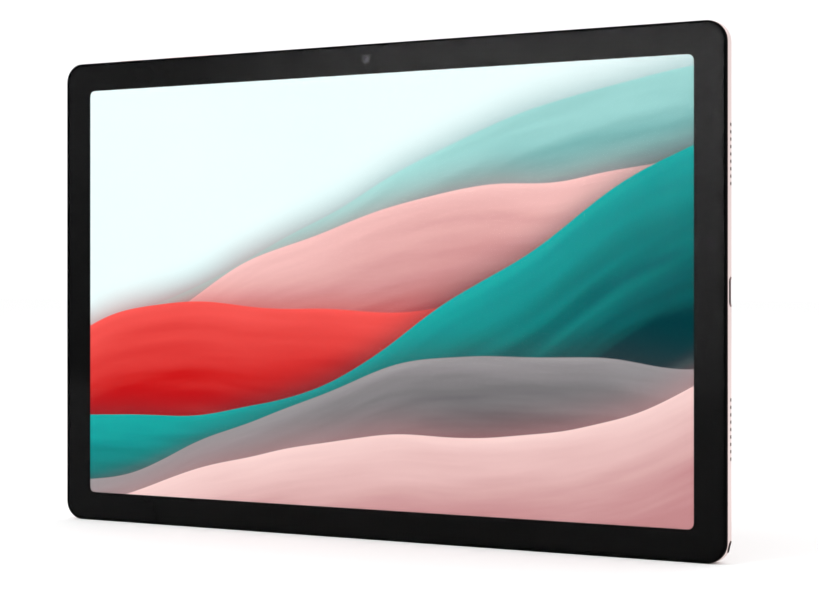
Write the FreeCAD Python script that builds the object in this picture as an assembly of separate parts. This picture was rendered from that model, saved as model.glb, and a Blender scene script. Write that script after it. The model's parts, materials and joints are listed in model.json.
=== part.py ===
import FreeCAD, Part

# A tablet computer with a ten-and-a-half-inch screen, held landscape and upright.
# Units are millimetres. X runs along the long side, to the right for someone who faces the screen.
# Z is up, and the lower long edge lies at Z = 0. Y runs from the screen to the back, with Y = 0 in
# the middle of the housing's thickness. Most places through the thickness are given as a depth d
# behind the face of the glass, and y_at() turns a depth into a Y.

import math
import os

# ---------------------------------------------------------------- driving dimensions

# picture area, 16:10, and the black border round it
screen_width = 226.2
screen_height = 142.1
screen_corner = 2.0
side_border = 10.3
long_border = 9.9

# housing
depth = 6.9
corner_radius = 6.5
side_wall = 1.0
back_wall = 0.8
back_edge_radius = 2.4
inner_edge_radius = 0.6
lip_radius = 0.15
parting_depth = 2.0
parting_gap = 0.06
fit_gap = 0.05

# thickness of each layer, from the front
glass_thick = 0.7
print_thick = 0.06
tape_thick = 0.10
cell_sheet = 0.30
film_thick = 0.15
guide_thick = 0.45
reflector_thick = 0.10
pan_thick = 0.15
pan_wall = 0.3
plate_gap = 0.10
plate_thick = 0.5

# glass and rim
glass_inset = 0.6
glass_edge_radius = 0.5
print_inset = 0.35
rim_inset = 0.12
rim_drop = 0.35
rim_radius = 0.3
tape_inner_inset = 3.0
plate_inset = 2.2

# display module borders around the picture
border_side = 2.5
border_bottom = 2.0
border_top = 2.3
driver_ledge = 1.5
display_gap = 0.3
film_margin = 0.5
led_pitch = 9.0
led_length = 3.2
led_height = 0.8

# snap clips between the frame and the cover
clip_length = 8.0
clip_height = 0.5
clip_reach = 0.3
clip_gap = 0.05

# front camera and light sensors, measured from the top and right edges
front_camera_drop = 4.95
front_camera_side = 5.0
front_camera_hole = 1.6
front_camera_bottom = 4.3
near_sensor_x = 7.9
near_sensor_radius = 1.2
side_sensor_inset = 5.1
side_sensor_rise = 14.6
side_sensor_radius = 1.35
sensor_width = 4.0
sensor_height = 3.0
pocket_gap = 0.2

# rear camera, measured from the left and top edges
rear_camera_inset = 15.0
rear_camera_drop = 15.0
rear_camera_side = 8.6
rear_ring_radius = 6.2
rear_ring_height = 0.9
rear_ring_bore = 4.2
rear_hole_radius = 5.2
rear_window_radius = 4.5
rear_window_thick = 0.5

# antenna lines in the back
antenna_half_span = 50.0
antenna_drop = 7.0
antenna_line = 1.2
antenna_deep = 0.35

# boards
board_gap = 0.15
board_thick = 0.7
board_left_inset = 31.0
board_right_inset = 23.0
board_depth_z = 36.0
board_left_top = 12.0
board_right_top = 5.2
board_step_x = 8.0
can_height = 1.4
can_wall = 0.15
connector_height = 0.5
flex_thick = 0.12

# screws
screw_radius = 0.7
screw_head_radius = 1.2
screw_head_height = 0.5
screw_hole_gap = 0.05

# battery
battery_cell_width = 72.0
battery_cell_gap = 2.0
battery_bottom = 13.0
battery_terrace = 5.0
battery_gap = 0.2
battery_edge_radius = 0.6
battery_to_board = 3.0
heat_sheet_thick = 0.1

# charging socket on the right edge
usb_width = 8.94
usb_thick = 3.16
usb_wall = 0.3
usb_length = 7.3
usb_recess = 0.6
usb_tongue_width = 6.7
usb_tongue_thick = 0.7
usb_tongue_reach = 1.0
usb_board_left = 37.0
usb_board_half = 15.0

# audio socket in the lower right corner
jack_radius = 1.8
jack_wall = 0.35
jack_z = 5.0
jack_bore_length = 13.5
jack_mouth_inset = 2.9
jack_back_wall = 0.5
jack_contact_count = 4

# speakers, measured from the top and bottom edges
speaker_from_edge = 39.95
speaker_length = 28.0
speaker_width = 17.0
speaker_wall = 0.5
speaker_travel = 0.2
magnet_width = 6.0
magnet_length = 12.0
magnet_thick = 0.9
coil_gap = 0.2
coil_wall = 0.3
diaphragm_width = 10.0
diaphragm_length = 18.0
diaphragm_thick = 0.12
grille_holes = 9
grille_pitch = 2.2
grille_radius = 0.6
screen_sheet = 0.12

# keys on the top edge, measured from the left edge
key_thick = 1.9
key_gap = 0.12
key_rise = 0.45
key_flange = 0.7
key_travel = 0.25
power_from_left = 26.0
power_length = 10.0
volume_from_power = 25.0
volume_length = 22.0
key_flange_thick = 0.5
rocker_room = 0.3
fulcrum_radius = 0.4
fulcrum_half = 1.0
dome_radius = 1.2
dome_height = 0.35
dome_drop = 2.1
dome_spacing = 15.0
nub_radius = 0.7
nub_gap = 0.02
bracket_thick = 0.5
bracket_foot = 5.0
key_flex_half = 1.3

# card tray on the top edge, measured from the right edge
tray_from_right = 36.0
tray_face_length = 18.0
tray_face_thick = 2.2
tray_gap = 0.1
tray_width = 13.5
tray_tail = 22.6
tray_thick = 0.9
tray_floor = 0.15
card_width = 11.2
card_length = 15.2
pin_hole_radius = 0.5
pin_hole_offset = 8.0
socket_wall = 0.2
socket_end = 27.0
socket_start = 2.2
lever_drop = 24.1
lever_half = 0.4
lever_hub = 1.2
lever_pin_radius = 0.5
lever_left = 8.6
lever_right = 6.5
rod_radius = 0.5
rod_top = 2.6
rod_gap = 0.1

# microphone and antennas
mic_x = 30.0
mic_hole_radius = 0.45
mic_side = 3.2
antenna_pad = 14.0
antenna_thick = 1.2
cable_radius = 0.45

# ---------------------------------------------------------------- places worked out from them

width = screen_width + 2 * side_border
height = screen_height + 2 * long_border
half_width = width / 2
half_depth = depth / 2
middle_z = height / 2

print_d = glass_thick
ledge_d = print_d + print_thick + tape_thick
cell_d = ledge_d
film_d = cell_d + 2 * cell_sheet
guide_d = film_d + film_thick
reflector_d = guide_d + guide_thick
pan_d = reflector_d + reflector_thick
plate_d = pan_d + pan_thick + plate_gap
plate_back_d = plate_d + plate_thick
inner_back_d = depth - back_wall
board_d = plate_back_d + board_gap
board_back_d = board_d + board_thick
connector_d = board_back_d + connector_height
flex_d = connector_d + flex_thick / 2
cover_front_d = parting_depth
frame_back_d = plate_back_d

picture_z0 = (height - screen_height) / 2
picture_z1 = picture_z0 + screen_height
module_x = screen_width / 2 + border_side
module_z0 = picture_z0 - border_bottom
module_z1 = picture_z1 + border_top
ledge_z = module_z1 - driver_ledge

front_camera_z = height - front_camera_drop
near_sensor = (near_sensor_x, front_camera_z, near_sensor_radius)
side_sensor = (half_width - side_sensor_inset, middle_z + side_sensor_rise, side_sensor_radius)
rear_camera_x = -half_width + rear_camera_inset
rear_camera_z = height - rear_camera_drop

board_x0 = -half_width + board_left_inset
board_x1 = half_width - board_right_inset
board_z0 = height - board_depth_z
display_flex_x0 = -34.0
display_flex_x1 = -10.0

battery_top = board_z0 - battery_to_board - battery_terrace
battery_front_d = plate_back_d + tape_thick
battery_back_d = inner_back_d - heat_sheet_thick - battery_gap

usb_d = inner_back_d - back_wall / 5 - usb_thick / 2
usb_front_x = half_width - usb_recess
usb_back_x = usb_front_x - usb_length
jack_outer = jack_radius + jack_wall
jack_d = depth - jack_back_wall - fit_gap - jack_outer
jack_mouth_x = half_width - jack_mouth_inset
jack_back_x = jack_mouth_x - jack_bore_length
port_d = (cover_front_d + depth) / 2 - 0.1

speaker_zs = {"lower": speaker_from_edge, "upper": height - speaker_from_edge}
speaker_front_d = plate_back_d + fit_gap
speaker_back_d = inner_back_d - heat_sheet_thick - fit_gap
speaker_outer_x = half_width - side_wall - 0.3
speaker_inner_x = speaker_outer_x - speaker_width
usb_half = min(usb_board_half, (height - 2 * speaker_from_edge - speaker_length) / 2 - 1.5)

wall_z = height - side_wall
power_x = -half_width + power_from_left
volume_x = power_x + volume_from_power
rocker_axis_z = wall_z - rocker_room - key_flange_thick - nub_gap - fulcrum_radius
dome_z = height - dome_drop
dome_base_z = dome_z - dome_height
key_flex_z = dome_base_z - 0.15
bracket_z = key_flex_z - bracket_thick
bracket_x0 = power_x - power_length / 2 - 3.0
bracket_x1 = volume_x + volume_length / 2 + 2.0

tray_x = half_width - tray_from_right
tray_front_d = board_back_d + socket_wall + 0.06
tray_d = tray_front_d + tray_thick / 2
pin_x_place = tray_x - pin_hole_offset
lever_z = height - lever_drop


# ---------------------------------------------------------------- helpers

def vec(x, y, z):
    return FreeCAD.Vector(x, y, z)


def y_at(d):
    """The Y of a depth d behind the glass's face."""
    return d - half_depth


def rounded_wire(a0, a1, b0, b1, radius, place):
    """A closed rectangle with round corners; place(a, b) gives the point in space."""
    if radius <= 0:
        corners = [place(a0, b0), place(a1, b0), place(a1, b1), place(a0, b1)]
        return Part.makePolygon(corners + corners[:1])
    bow = radius * (1 - math.sqrt(0.5))
    edges = []
    for start, mid, end, following in (
        ((a1 - radius, b0), (a1 - bow, b0 + bow), (a1, b0 + radius), (a1, b1 - radius)),
        ((a1, b1 - radius), (a1 - bow, b1 - bow), (a1 - radius, b1), (a0 + radius, b1)),
        ((a0 + radius, b1), (a0 + bow, b1 - bow), (a0, b1 - radius), (a0, b0 + radius)),
        ((a0, b0 + radius), (a0 + bow, b0 + bow), (a0 + radius, b0), (a1 - radius, b0)),
    ):
        edges.append(Part.Arc(place(*start), place(*mid), place(*end)).toShape())
        if math.dist(end, following) > 1e-6:
            edges.append(Part.LineSegment(place(*end), place(*following)).toShape())
    return Part.Wire(edges)


def slab(x0, x1, z0, z1, d0, d1, radius=0.0):
    """A plate that faces the screen: a rectangle in X and Z between two depths."""
    wire = rounded_wire(x0, x1, z0, z1, radius, lambda a, b: vec(a, y_at(d0), b))
    return Part.Face(wire).extrude(vec(0, d1 - d0, 0))


def block(x, z, x_size, z_size, d0, d1, radius=0.0):
    """A slab given by its centre and size."""
    return slab(x - x_size / 2, x + x_size / 2, z - z_size / 2, z + z_size / 2, d0, d1, radius)


def inset_slab(inset, d0, d1):
    """A slab of the housing's outline, drawn in by inset all round."""
    return slab(-half_width + inset, half_width - inset, inset, height - inset,
                d0, d1, max(corner_radius - inset, 0.5))


def along_x(d, z, d_size, z_size, x0, x1, radius=0.0):
    """A bar along X with a round-cornered section centred on depth d and height z."""
    wire = rounded_wire(d - d_size / 2, d + d_size / 2, z - z_size / 2, z + z_size / 2,
                        radius, lambda a, b: vec(x0, y_at(a), b))
    return Part.Face(wire).extrude(vec(x1 - x0, 0, 0))


def along_z(x, d, x_size, d_size, z0, z1, radius=0.0):
    """A bar along Z with a round-cornered section centred on x and depth d."""
    wire = rounded_wire(x - x_size / 2, x + x_size / 2, d - d_size / 2, d + d_size / 2,
                        radius, lambda a, b: vec(a, y_at(b), z0))
    return Part.Face(wire).extrude(vec(0, 0, z1 - z0))


def rod_y(x, z, radius, d0, d1):
    return Part.makeCylinder(radius, d1 - d0, vec(x, y_at(d0), z), vec(0, 1, 0))


def rod_x(d, z, radius, x0, x1):
    return Part.makeCylinder(radius, x1 - x0, vec(x0, y_at(d), z), vec(1, 0, 0))


def rod_z(x, d, radius, z0, z1):
    return Part.makeCylinder(radius, z1 - z0, vec(x, y_at(d), z0), vec(0, 0, 1))


def rounded_at(solid, d, radius):
    """The solid with every edge that lies wholly at depth d rounded."""
    edges = [e for e in solid.Edges if all(abs(v.Y - y_at(d)) < 1e-6 for v in e.Vertexes)]
    return solid.makeFillet(radius, edges)


def ribbon(points, thickness, x0, x1):
    """A flat cable along X-wide runs: points are (z, d) on its middle line, bends are mitred."""
    def side(sign):
        made = []
        for i, (z, d) in enumerate(points):
            before = points[i - 1] if i else None
            after = points[i + 1] if i + 1 < len(points) else None
            normals = []
            for a, b in ((before, (z, d)), ((z, d), after)):
                if a and b:
                    length = math.dist(a, b)
                    normals.append(((a[1] - b[1]) / length, (b[0] - a[0]) / length))
            nz = sum(n[0] for n in normals)
            nd = sum(n[1] for n in normals)
            scale = sign * thickness / 2 * len(normals) / (nz * nz + nd * nd)
            made.append(vec(x0, y_at(d + nd * scale), z + nz * scale))
        return made
    loop = side(1) + side(-1)[::-1]
    return Part.Face(Part.makePolygon(loop + loop[:1])).extrude(vec(x1 - x0, 0, 0))


def tube(points, radius):
    """A round cable through (x, z) points at one depth, each bend as large as its runs allow."""
    places = [vec(x, y_at(d), z) for x, z, d in points]
    edges = []
    start = places[0]
    for before, corner, after in zip(places, places[1:], places[2:]):
        back = (before - corner).normalize()
        on = (after - corner).normalize()
        turn = math.pi - back.getAngle(on)
        run = min((before - corner).Length, (after - corner).Length)
        cut = 0.45 * run
        bend = cut / math.tan(turn / 2)
        first = corner + back * cut
        last = corner + on * cut
        centre_way = (back + on).normalize()
        middle = corner + centre_way * (bend / math.cos(turn / 2) - bend)
        edges.append(Part.LineSegment(start, first).toShape())
        edges.append(Part.Arc(first, middle, last).toShape())
        print(f"cable bend radius {bend:.1f}")
        start = last
    edges.append(Part.LineSegment(start, places[-1]).toShape())
    section = Part.Wire(Part.makeCircle(radius, places[0], places[1] - places[0]))
    return Part.Wire(edges).makePipeShell([section], True, False)


def group(solids):
    return Part.makeCompound(solids)


def joined(solids):
    return solids[0].fuse(solids[1:]).removeSplitter()


def screw_places():
    """(x, z, depth of the face under the head) of each screw into the mid plate."""
    board_top = height - board_left_top
    right_top = height - board_right_top
    return [
        (board_x0 + 3, board_z0 + 3, board_back_d),
        (board_x0 + 3, board_top - 3, board_back_d),
        (display_flex_x0 - 8, board_top - 3, board_back_d),
        (board_step_x + 4, right_top - 3, board_back_d),
        (board_x1 - 3, board_z0 + 3, board_back_d),
        (board_x1 - 2.5, right_top - 3, board_back_d),
        (half_width - usb_board_left + 4, middle_z - usb_half + 3, board_back_d),
        (usb_back_x - 4, middle_z + usb_half - 3, board_back_d),
        (bracket_x0 + 2, bracket_z - bracket_foot / 2, plate_back_d + bracket_thick),
        (bracket_x1 - 2, bracket_z - bracket_foot / 2, plate_back_d + bracket_thick),
    ]


def screw_holes(d0, d1):
    return [rod_y(x, z, screw_radius + screw_hole_gap, d0, d1) for x, z, _ in screw_places()]


# ---------------------------------------------------------------- front glass and display

def cover_glass():
    return rounded_at(inset_slab(glass_inset, 0, glass_thick), 0, glass_edge_radius)


def bezel_print():
    """The black border printed on the back of the glass, with its three round windows."""
    border = inset_slab(glass_inset + print_inset, print_d, print_d + print_thick)
    openings = [slab(-screen_width / 2, screen_width / 2, picture_z0, picture_z1,
                     print_d, print_d + print_thick, screen_corner)]
    openings.append(rod_y(0, front_camera_z, front_camera_hole, print_d, print_d + print_thick))
    for x, z, radius in (near_sensor, side_sensor):
        openings.append(rod_y(x, z, radius, print_d, print_d + print_thick))
    return border.cut(openings)


def sensor_windows():
    return group([rod_y(x, z, radius, print_d, print_d + print_thick)
                  for x, z, radius in (near_sensor, side_sensor)])


def display_tape():
    d0 = print_d + print_thick
    outer = inset_slab(glass_inset + print_inset + 0.1, d0, ledge_d)
    return outer.cut(inset_slab(tape_inner_inset, d0, ledge_d))


def lcd_cell():
    front = slab(-module_x, module_x, module_z0, ledge_z, cell_d, cell_d + cell_sheet)
    rear = slab(-module_x, module_x, module_z0, module_z1, cell_d + cell_sheet, film_d)
    return group([front, rear])


def display_driver():
    middle = (display_flex_x0 + display_flex_x1) / 2
    return block(middle, ledge_z + 0.5, 24.0, 0.6, cell_d + cell_sheet - 0.2, cell_d + cell_sheet)


def display_flex():
    """From the lower glass's ledge, round the module and through the plate to the board."""
    bond_d = cell_d + cell_sheet - flex_thick / 2
    turn_z = module_z1 + 0.55
    path = [(module_z1 - 0.45, bond_d), (turn_z, bond_d), (turn_z, flex_d),
            (height - board_left_top - 6.5, flex_d)]
    return ribbon(path, flex_thick, display_flex_x0, display_flex_x1)


def film_slab(d0, d1, bottom):
    inner = pan_wall + 0.1
    return slab(-module_x + inner, module_x - inner, module_z0 + inner + bottom,
                module_z1 - inner, d0, d1)


def diffuser_films():
    return film_slab(film_d, guide_d, 0)


def light_guide():
    sheet = film_slab(guide_d, reflector_d, led_height + 0.2)
    return sheet.cut(socket_clearances(guide_d, reflector_d))


def reflector_sheet():
    return film_slab(reflector_d, pan_d, 0).cut(socket_clearances(reflector_d, pan_d))


def backlight_leds():
    """A row of small lamps that shines up into the light guide's lower edge."""
    count = int((2 * module_x - 2 * led_length) // led_pitch)
    z0 = module_z0 + pan_wall + 0.15
    solids = []
    for k in range(count):
        x = (k - (count - 1) / 2) * led_pitch
        solids.append(slab(x - led_length / 2, x + led_length / 2, z0, z0 + led_height,
                           guide_d, reflector_d))
    return group(solids)


def backlight_pan():
    outer = slab(-module_x, module_x, module_z0, module_z1, film_d, pan_d + pan_thick)
    inner = slab(-module_x + pan_wall, module_x - pan_wall, module_z0 + pan_wall,
                 module_z1 - pan_wall, film_d, pan_d)
    return outer.cut([inner] + socket_clearances(film_d, pan_d + pan_thick))


# ---------------------------------------------------------------- frame, plate and cover

def clip_solids(grow):
    """Wedge-like snap bumps on the frame's skirt; grown, they are the cover's pockets."""
    d0 = cover_front_d + 0.25 - grow
    d1 = d0 + clip_height + 2 * grow
    inner = side_wall + fit_gap + 0.2
    outer = side_wall + fit_gap - clip_reach - grow
    half = clip_length / 2 + grow
    solids = []
    for k in range(-2, 3):
        x = k * width / 5
        for z0, z1 in ((outer, inner), (height - inner, height - outer)):
            solids.append(slab(x - half, x + half, z0, z1, d0, d1))
    for z in (speaker_zs["lower"], speaker_zs["upper"]):
        for x0, x1 in ((-half_width + outer, -half_width + inner),
                       (half_width - inner, half_width - outer)):
            solids.append(slab(x0, x1, z - half, z + half, d0, d1))
    return solids


def front_pockets(d0, d1):
    """Room for the front camera and the two light sensors."""
    side = front_camera_side + 2 * pocket_gap
    pockets = [block(0, front_camera_z, side, side, d0, d1)]
    for x, z, _ in (near_sensor, side_sensor):
        pockets.append(block(x, z, sensor_width + 2 * pocket_gap,
                             sensor_height + 2 * pocket_gap, d0, d1))
    return pockets


def socket_clearances(d0, d1):
    """Room for the charging socket and the audio socket in whatever lies in front of them."""
    usb = along_x(usb_d, middle_z, usb_thick + 2 * pocket_gap, usb_width + 2 * pocket_gap,
                  usb_back_x - pocket_gap, half_width)
    jack = slab(jack_back_x - 1.0 - pocket_gap, half_width, jack_z - jack_outer - pocket_gap,
                jack_z + jack_outer + pocket_gap + 0.6, jack_d - jack_outer - pocket_gap,
                jack_d)
    band = inset_slab(0, d0, d1)
    return [usb.common(band), jack.common(band)]


def mid_frame():
    """The black plastic frame: a thin rim round the glass, a ledge under it and a skirt."""
    rim_back_d = cover_front_d - parting_gap
    rim = rounded_at(inset_slab(rim_inset, rim_drop, rim_back_d), rim_drop, rim_radius)
    skirt = inset_slab(side_wall + fit_gap, rim_back_d, frame_back_d)
    body = joined([rim, skirt] + clip_solids(0))
    cuts = [
        inset_slab(glass_inset - fit_gap, rim_drop, ledge_d),
        slab(-module_x - display_gap, module_x + display_gap, module_z0 - display_gap,
             module_z1 + display_gap, ledge_d, plate_d),
        inset_slab(plate_inset, plate_d, frame_back_d),
        slab(display_flex_x0 - 1, display_flex_x1 + 1, module_z1, module_z1 + 1.0,
             ledge_d, frame_back_d),
    ]
    cuts += front_pockets(ledge_d, frame_back_d)
    cuts += socket_clearances(ledge_d, frame_back_d)
    return body.cut(cuts)


def mid_plate():
    """The metal plate that stiffens the frame and carries the boards and the battery."""
    plate = inset_slab(plate_inset + fit_gap, plate_d, plate_back_d)
    pads = [rod_y(x, z, screw_head_radius + 0.4, plate_back_d - 0.1, board_d)
            for x, z, face_d in screw_places() if face_d == board_back_d]
    cuts = [slab(display_flex_x0 - 1, display_flex_x1 + 1, module_z1 - 4.0, module_z1 + 1.0,
                 plate_d, plate_back_d)]
    side = front_camera_side + 2 * pocket_gap
    cuts.append(block(0, front_camera_z, side, side, plate_d, plate_back_d))
    cuts += socket_clearances(plate_d, plate_back_d)
    cuts += screw_holes(plate_d, board_d)
    return joined([plate] + pads).cut(cuts)


def cover_outside():
    outer = inset_slab(0, cover_front_d, depth)
    outer = rounded_at(outer, depth, back_edge_radius)
    return rounded_at(outer, cover_front_d, lip_radius)


def antenna_lines():
    """The antenna lines: across the back near the top, then over the rolled edge and the top."""
    half = antenna_line / 2
    line_z = height - antenna_drop
    strips = [slab(-antenna_half_span - half, antenna_half_span + half, line_z - half,
                   line_z + half, cover_front_d, depth)]
    for x in (-antenna_half_span, antenna_half_span):
        strips.append(slab(x - half, x + half, line_z, height, cover_front_d, depth))
    core_back_d = depth - antenna_deep
    core = rounded_at(inset_slab(antenna_deep, cover_front_d, core_back_d), core_back_d,
                      back_edge_radius - antenna_deep)
    return joined(strips).common(cover_outside()).cut(core)


def grille_openings(x0, x1):
    holes = []
    for z in speaker_zs.values():
        for k in range(grille_holes):
            hole_z = z + (k - (grille_holes - 1) / 2) * grille_pitch
            holes.append(rod_x(port_d, hole_z, grille_radius, x0, x1))
    return holes


def rear_cover():
    """The metal tub: back and side walls in one piece, with every opening of the edges."""
    wall = side_wall + 0.2
    key_slots = [
        along_z(x, port_d, length + 2 * key_gap, key_thick + 2 * key_gap, height - wall,
                height, key_thick / 2 + key_gap - 0.01)
        for x, length in ((power_x, power_length), (volume_x, volume_length))]
    hollow = rounded_at(inset_slab(side_wall, cover_front_d, inner_back_d), inner_back_d,
                        inner_edge_radius)
    cuts = [
        hollow,
        antenna_lines(),
        along_x(usb_d, middle_z, usb_thick + 2 * fit_gap, usb_width + 2 * fit_gap,
                half_width - wall, half_width, usb_thick / 2),
        rod_x(jack_d, jack_z, jack_radius + fit_gap, jack_mouth_x - 1, half_width),
        slab(jack_back_x - 1.0 - pocket_gap, jack_mouth_x + 0.3,
             jack_z - jack_outer - pocket_gap, jack_z + jack_outer + pocket_gap,
             jack_d, depth - jack_back_wall),
        along_z(tray_x, tray_d, tray_face_length + 2 * tray_gap,
                tray_face_thick + 2 * tray_gap, height - wall, height,
                tray_face_thick / 2 + tray_gap - 0.01),
        rod_z(mic_x, port_d, mic_hole_radius, height - wall, height),
        rod_y(rear_camera_x, rear_camera_z, rear_hole_radius, inner_back_d, depth),
    ]
    cuts += key_slots + clip_solids(clip_gap)
    cuts += grille_openings(half_width - wall, half_width)
    cuts += grille_openings(-half_width, -half_width + wall)
    return cover_outside().cut(cuts)


# ---------------------------------------------------------------- cameras and sensors

def front_camera_body():
    base = block(0, front_camera_z, front_camera_side, front_camera_side,
                 ledge_d + 0.7, front_camera_bottom, 0.4)
    barrel = rod_y(0, front_camera_z, 1.75, ledge_d + 0.1, ledge_d + 0.7)
    bore = rod_y(0, front_camera_z, 1.0, ledge_d + 0.1, ledge_d + 0.8)
    cone = Part.makeCone(1.5, 0.8, 0.3, vec(0, y_at(ledge_d + 0.1), front_camera_z),
                         vec(0, 1, 0))
    return joined([base, barrel]).cut([bore, cone])


def dome_lens(x, z, radius, d_base, edge, rise, facing):
    """A lens with a flat base, an edge and a domed face; facing is -1 towards the screen."""
    ball = (radius * radius + rise * rise) / (2 * rise)
    centre = vec(x, y_at(d_base) + facing * (edge + rise - ball), z)
    low, high = sorted((d_base, d_base + facing * (edge + rise)))
    return Part.makeSphere(ball, centre).common(rod_y(x, z, radius, low, high))


def front_camera_lens():
    return dome_lens(0, front_camera_z, 0.95, ledge_d + 0.8, 0.3, 0.2, -1)


def light_sensors():
    solids = []
    for x, z, _ in (near_sensor, side_sensor):
        solids.append(block(x, z, 2.0, 1.4, ledge_d + 0.1, ledge_d + 0.6))
        solids.append(block(x, z, sensor_width, sensor_height, ledge_d + 0.6, ledge_d + 0.9))
    return group(solids)


def rear_camera_body():
    """Lens barrel, square housing and the flat cable that is soldered to it."""
    base = block(rear_camera_x, rear_camera_z, rear_camera_side, rear_camera_side,
                 plate_back_d + fit_gap, inner_back_d - 0.5, 0.8)
    barrel = rod_y(rear_camera_x, rear_camera_z, 3.4, inner_back_d - 0.5, depth - 0.1)
    bore = rod_y(rear_camera_x, rear_camera_z, 2.0, depth - 1.0, depth - 0.1)
    cone = Part.makeCone(2.0, 3.0, 0.35, vec(rear_camera_x, y_at(depth - 0.45), rear_camera_z),
                         vec(0, 1, 0))
    start_x = rear_camera_x + rear_camera_side / 2 - 0.5
    cable = slab(start_x, board_x0 + 10.0, rear_camera_z - 6.0, rear_camera_z - 1.0,
                 flex_d - flex_thick / 2, flex_d + flex_thick / 2)
    return joined([base, barrel, cable]).cut([bore, cone])


def rear_camera_lens():
    return dome_lens(rear_camera_x, rear_camera_z, 1.95, depth - 1.0, 0.4, 0.35, 1)


def rear_camera_ring():
    outer = rod_y(rear_camera_x, rear_camera_z, rear_ring_radius, depth, depth + rear_ring_height)
    outer = rounded_at(outer, depth + rear_ring_height, 0.3)
    neck = rod_y(rear_camera_x, rear_camera_z, rear_hole_radius - fit_gap, inner_back_d, depth)
    seat_d = depth + rear_ring_height - rear_window_thick - 0.15
    cuts = [
        rod_y(rear_camera_x, rear_camera_z, rear_ring_bore, inner_back_d,
              depth + rear_ring_height),
        rod_y(rear_camera_x, rear_camera_z, rear_window_radius + fit_gap, seat_d,
              depth + rear_ring_height),
    ]
    return joined([outer, neck]).cut(cuts)


def rear_camera_window():
    seat_d = depth + rear_ring_height - rear_window_thick - 0.15
    return rod_y(rear_camera_x, rear_camera_z, rear_window_radius, seat_d,
                 seat_d + rear_window_thick)


# ---------------------------------------------------------------- boards

def main_board():
    left_top = height - board_left_top
    lower = slab(board_x0, board_x1, board_z0, left_top, board_d, board_back_d, 1.0)
    upper = slab(board_step_x, board_x1, left_top - 4, height - board_right_top,
                 board_d, board_back_d, 1.0)
    return joined([lower, upper]).cut(screw_holes(board_d, board_back_d))


def can_places():
    """(x0, x1, z0, z1) of each shield can, laid out from the board's left end."""
    z0 = board_z0 + 1.5
    z1 = height - board_left_top - 9.0
    x = board_x0 + 6.5
    cans = []
    for length in (36.0, 30.0, 22.0):
        cans.append((x, x + length, z0, z1))
        x += length + 2.5
    return cans


def shield_cans():
    solids = []
    for x0, x1, z0, z1 in can_places():
        outer = slab(x0, x1, z0, z1, board_back_d, board_back_d + can_height, 0.6)
        inner = slab(x0 + can_wall, x1 - can_wall, z0 + can_wall, z1 - can_wall, board_back_d,
                     board_back_d + can_height - can_wall, 0.45)
        solids.append(outer.cut(inner))
    return group(solids)


def board_chips():
    solids = []
    for (x0, x1, z0, z1), chips in zip(can_places(), (
            ((0.3, 11.5, 11.5, 1.0), (0.75, 9.0, 11.0, 0.9)),
            ((0.3, 8.0, 8.0, 0.8), (0.7, 6.5, 6.5, 0.7)),
            ((0.5, 8.0, 7.0, 0.8),))):
        for share, x_size, z_size, thick in chips:
            solids.append(block(x0 + share * (x1 - x0), (z0 + z1) / 2, x_size, z_size,
                                board_back_d, board_back_d + thick))
    return group(solids)


def board_connectors():
    """Plug blocks for the display, rear camera, keys, battery and lower-board cables."""
    top = height - board_left_top
    flex_middle = (display_flex_x0 + display_flex_x1) / 2
    return group([
        block(flex_middle, top - 5.0, 20.0, 2.6, board_back_d, connector_d),
        block(board_x0 + 8.0, rear_camera_z - 3.5, 3.0, 4.4, board_back_d, connector_d),
        block(volume_x + 6.0, top - 2.5, 4.0, 2.0, board_back_d, connector_d),
        block(board_step_x + 30, board_z0 + 2.5, 9.0, 2.6, board_back_d, connector_d),
        block(half_width - 31.5, board_z0 + 6.5, 9.0, 2.6, board_back_d, connector_d),
    ])


def usb_board():
    main = slab(half_width - usb_board_left, usb_back_x - pocket_gap, middle_z - usb_half,
                middle_z + usb_half, board_d, board_back_d, 1.0)
    arms = [slab(usb_back_x - 4, half_width - side_wall - 0.4, z - 2.2, z + 2.2,
                 board_d, board_back_d, 0.5)
            for z in (middle_z - usb_width / 2 - 3, middle_z + usb_width / 2 + 3)]
    return joined([main] + arms).cut(screw_holes(board_d, board_back_d))


def usb_socket():
    """The steel shell of the charging socket, closed at its back."""
    outer = along_x(usb_d, middle_z, usb_thick, usb_width, usb_back_x, usb_front_x,
                    usb_thick / 2 - 0.01)
    bore = along_x(usb_d, middle_z, usb_thick - 2 * usb_wall, usb_width - 2 * usb_wall,
                   usb_back_x + usb_wall, usb_front_x, usb_thick / 2 - usb_wall - 0.01)
    return outer.cut(bore)


def usb_tongue():
    """The plastic base inside the shell and the flat tongue that a plug slides over."""
    start = usb_back_x + usb_wall
    base = along_x(usb_d, middle_z, usb_thick - 2 * usb_wall - 0.02,
                   usb_width - 2 * usb_wall - 0.02, start, start + 1.4,
                   usb_thick / 2 - usb_wall - 0.03)
    tongue = along_x(usb_d, middle_z, usb_tongue_thick, usb_tongue_width, start + 1.4,
                     usb_front_x - usb_tongue_reach, 0.2)
    return joined([base, tongue])


def link_flex():
    """The flat cable from the lower board up to the main board."""
    low = plate_back_d + 0.15
    usb_top = middle_z + usb_half
    path = [(usb_top - 5.0, flex_d), (usb_top + 0.8, flex_d), (usb_top + 2.0, low),
            (board_z0 - 2.2, low), (board_z0 - 1.0, flex_d), (board_z0 + 8.0, flex_d)]
    return ribbon(path, flex_thick, half_width - 36.0, half_width - 27.0)


def heat_sheet():
    """The thin graphite sheet on the cover's inner face that spreads the processor's heat."""
    return slab(board_x0, board_x1 - 30, battery_bottom, height - 18,
                inner_back_d - heat_sheet_thick, inner_back_d, 2.0)


# ---------------------------------------------------------------- battery

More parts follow.
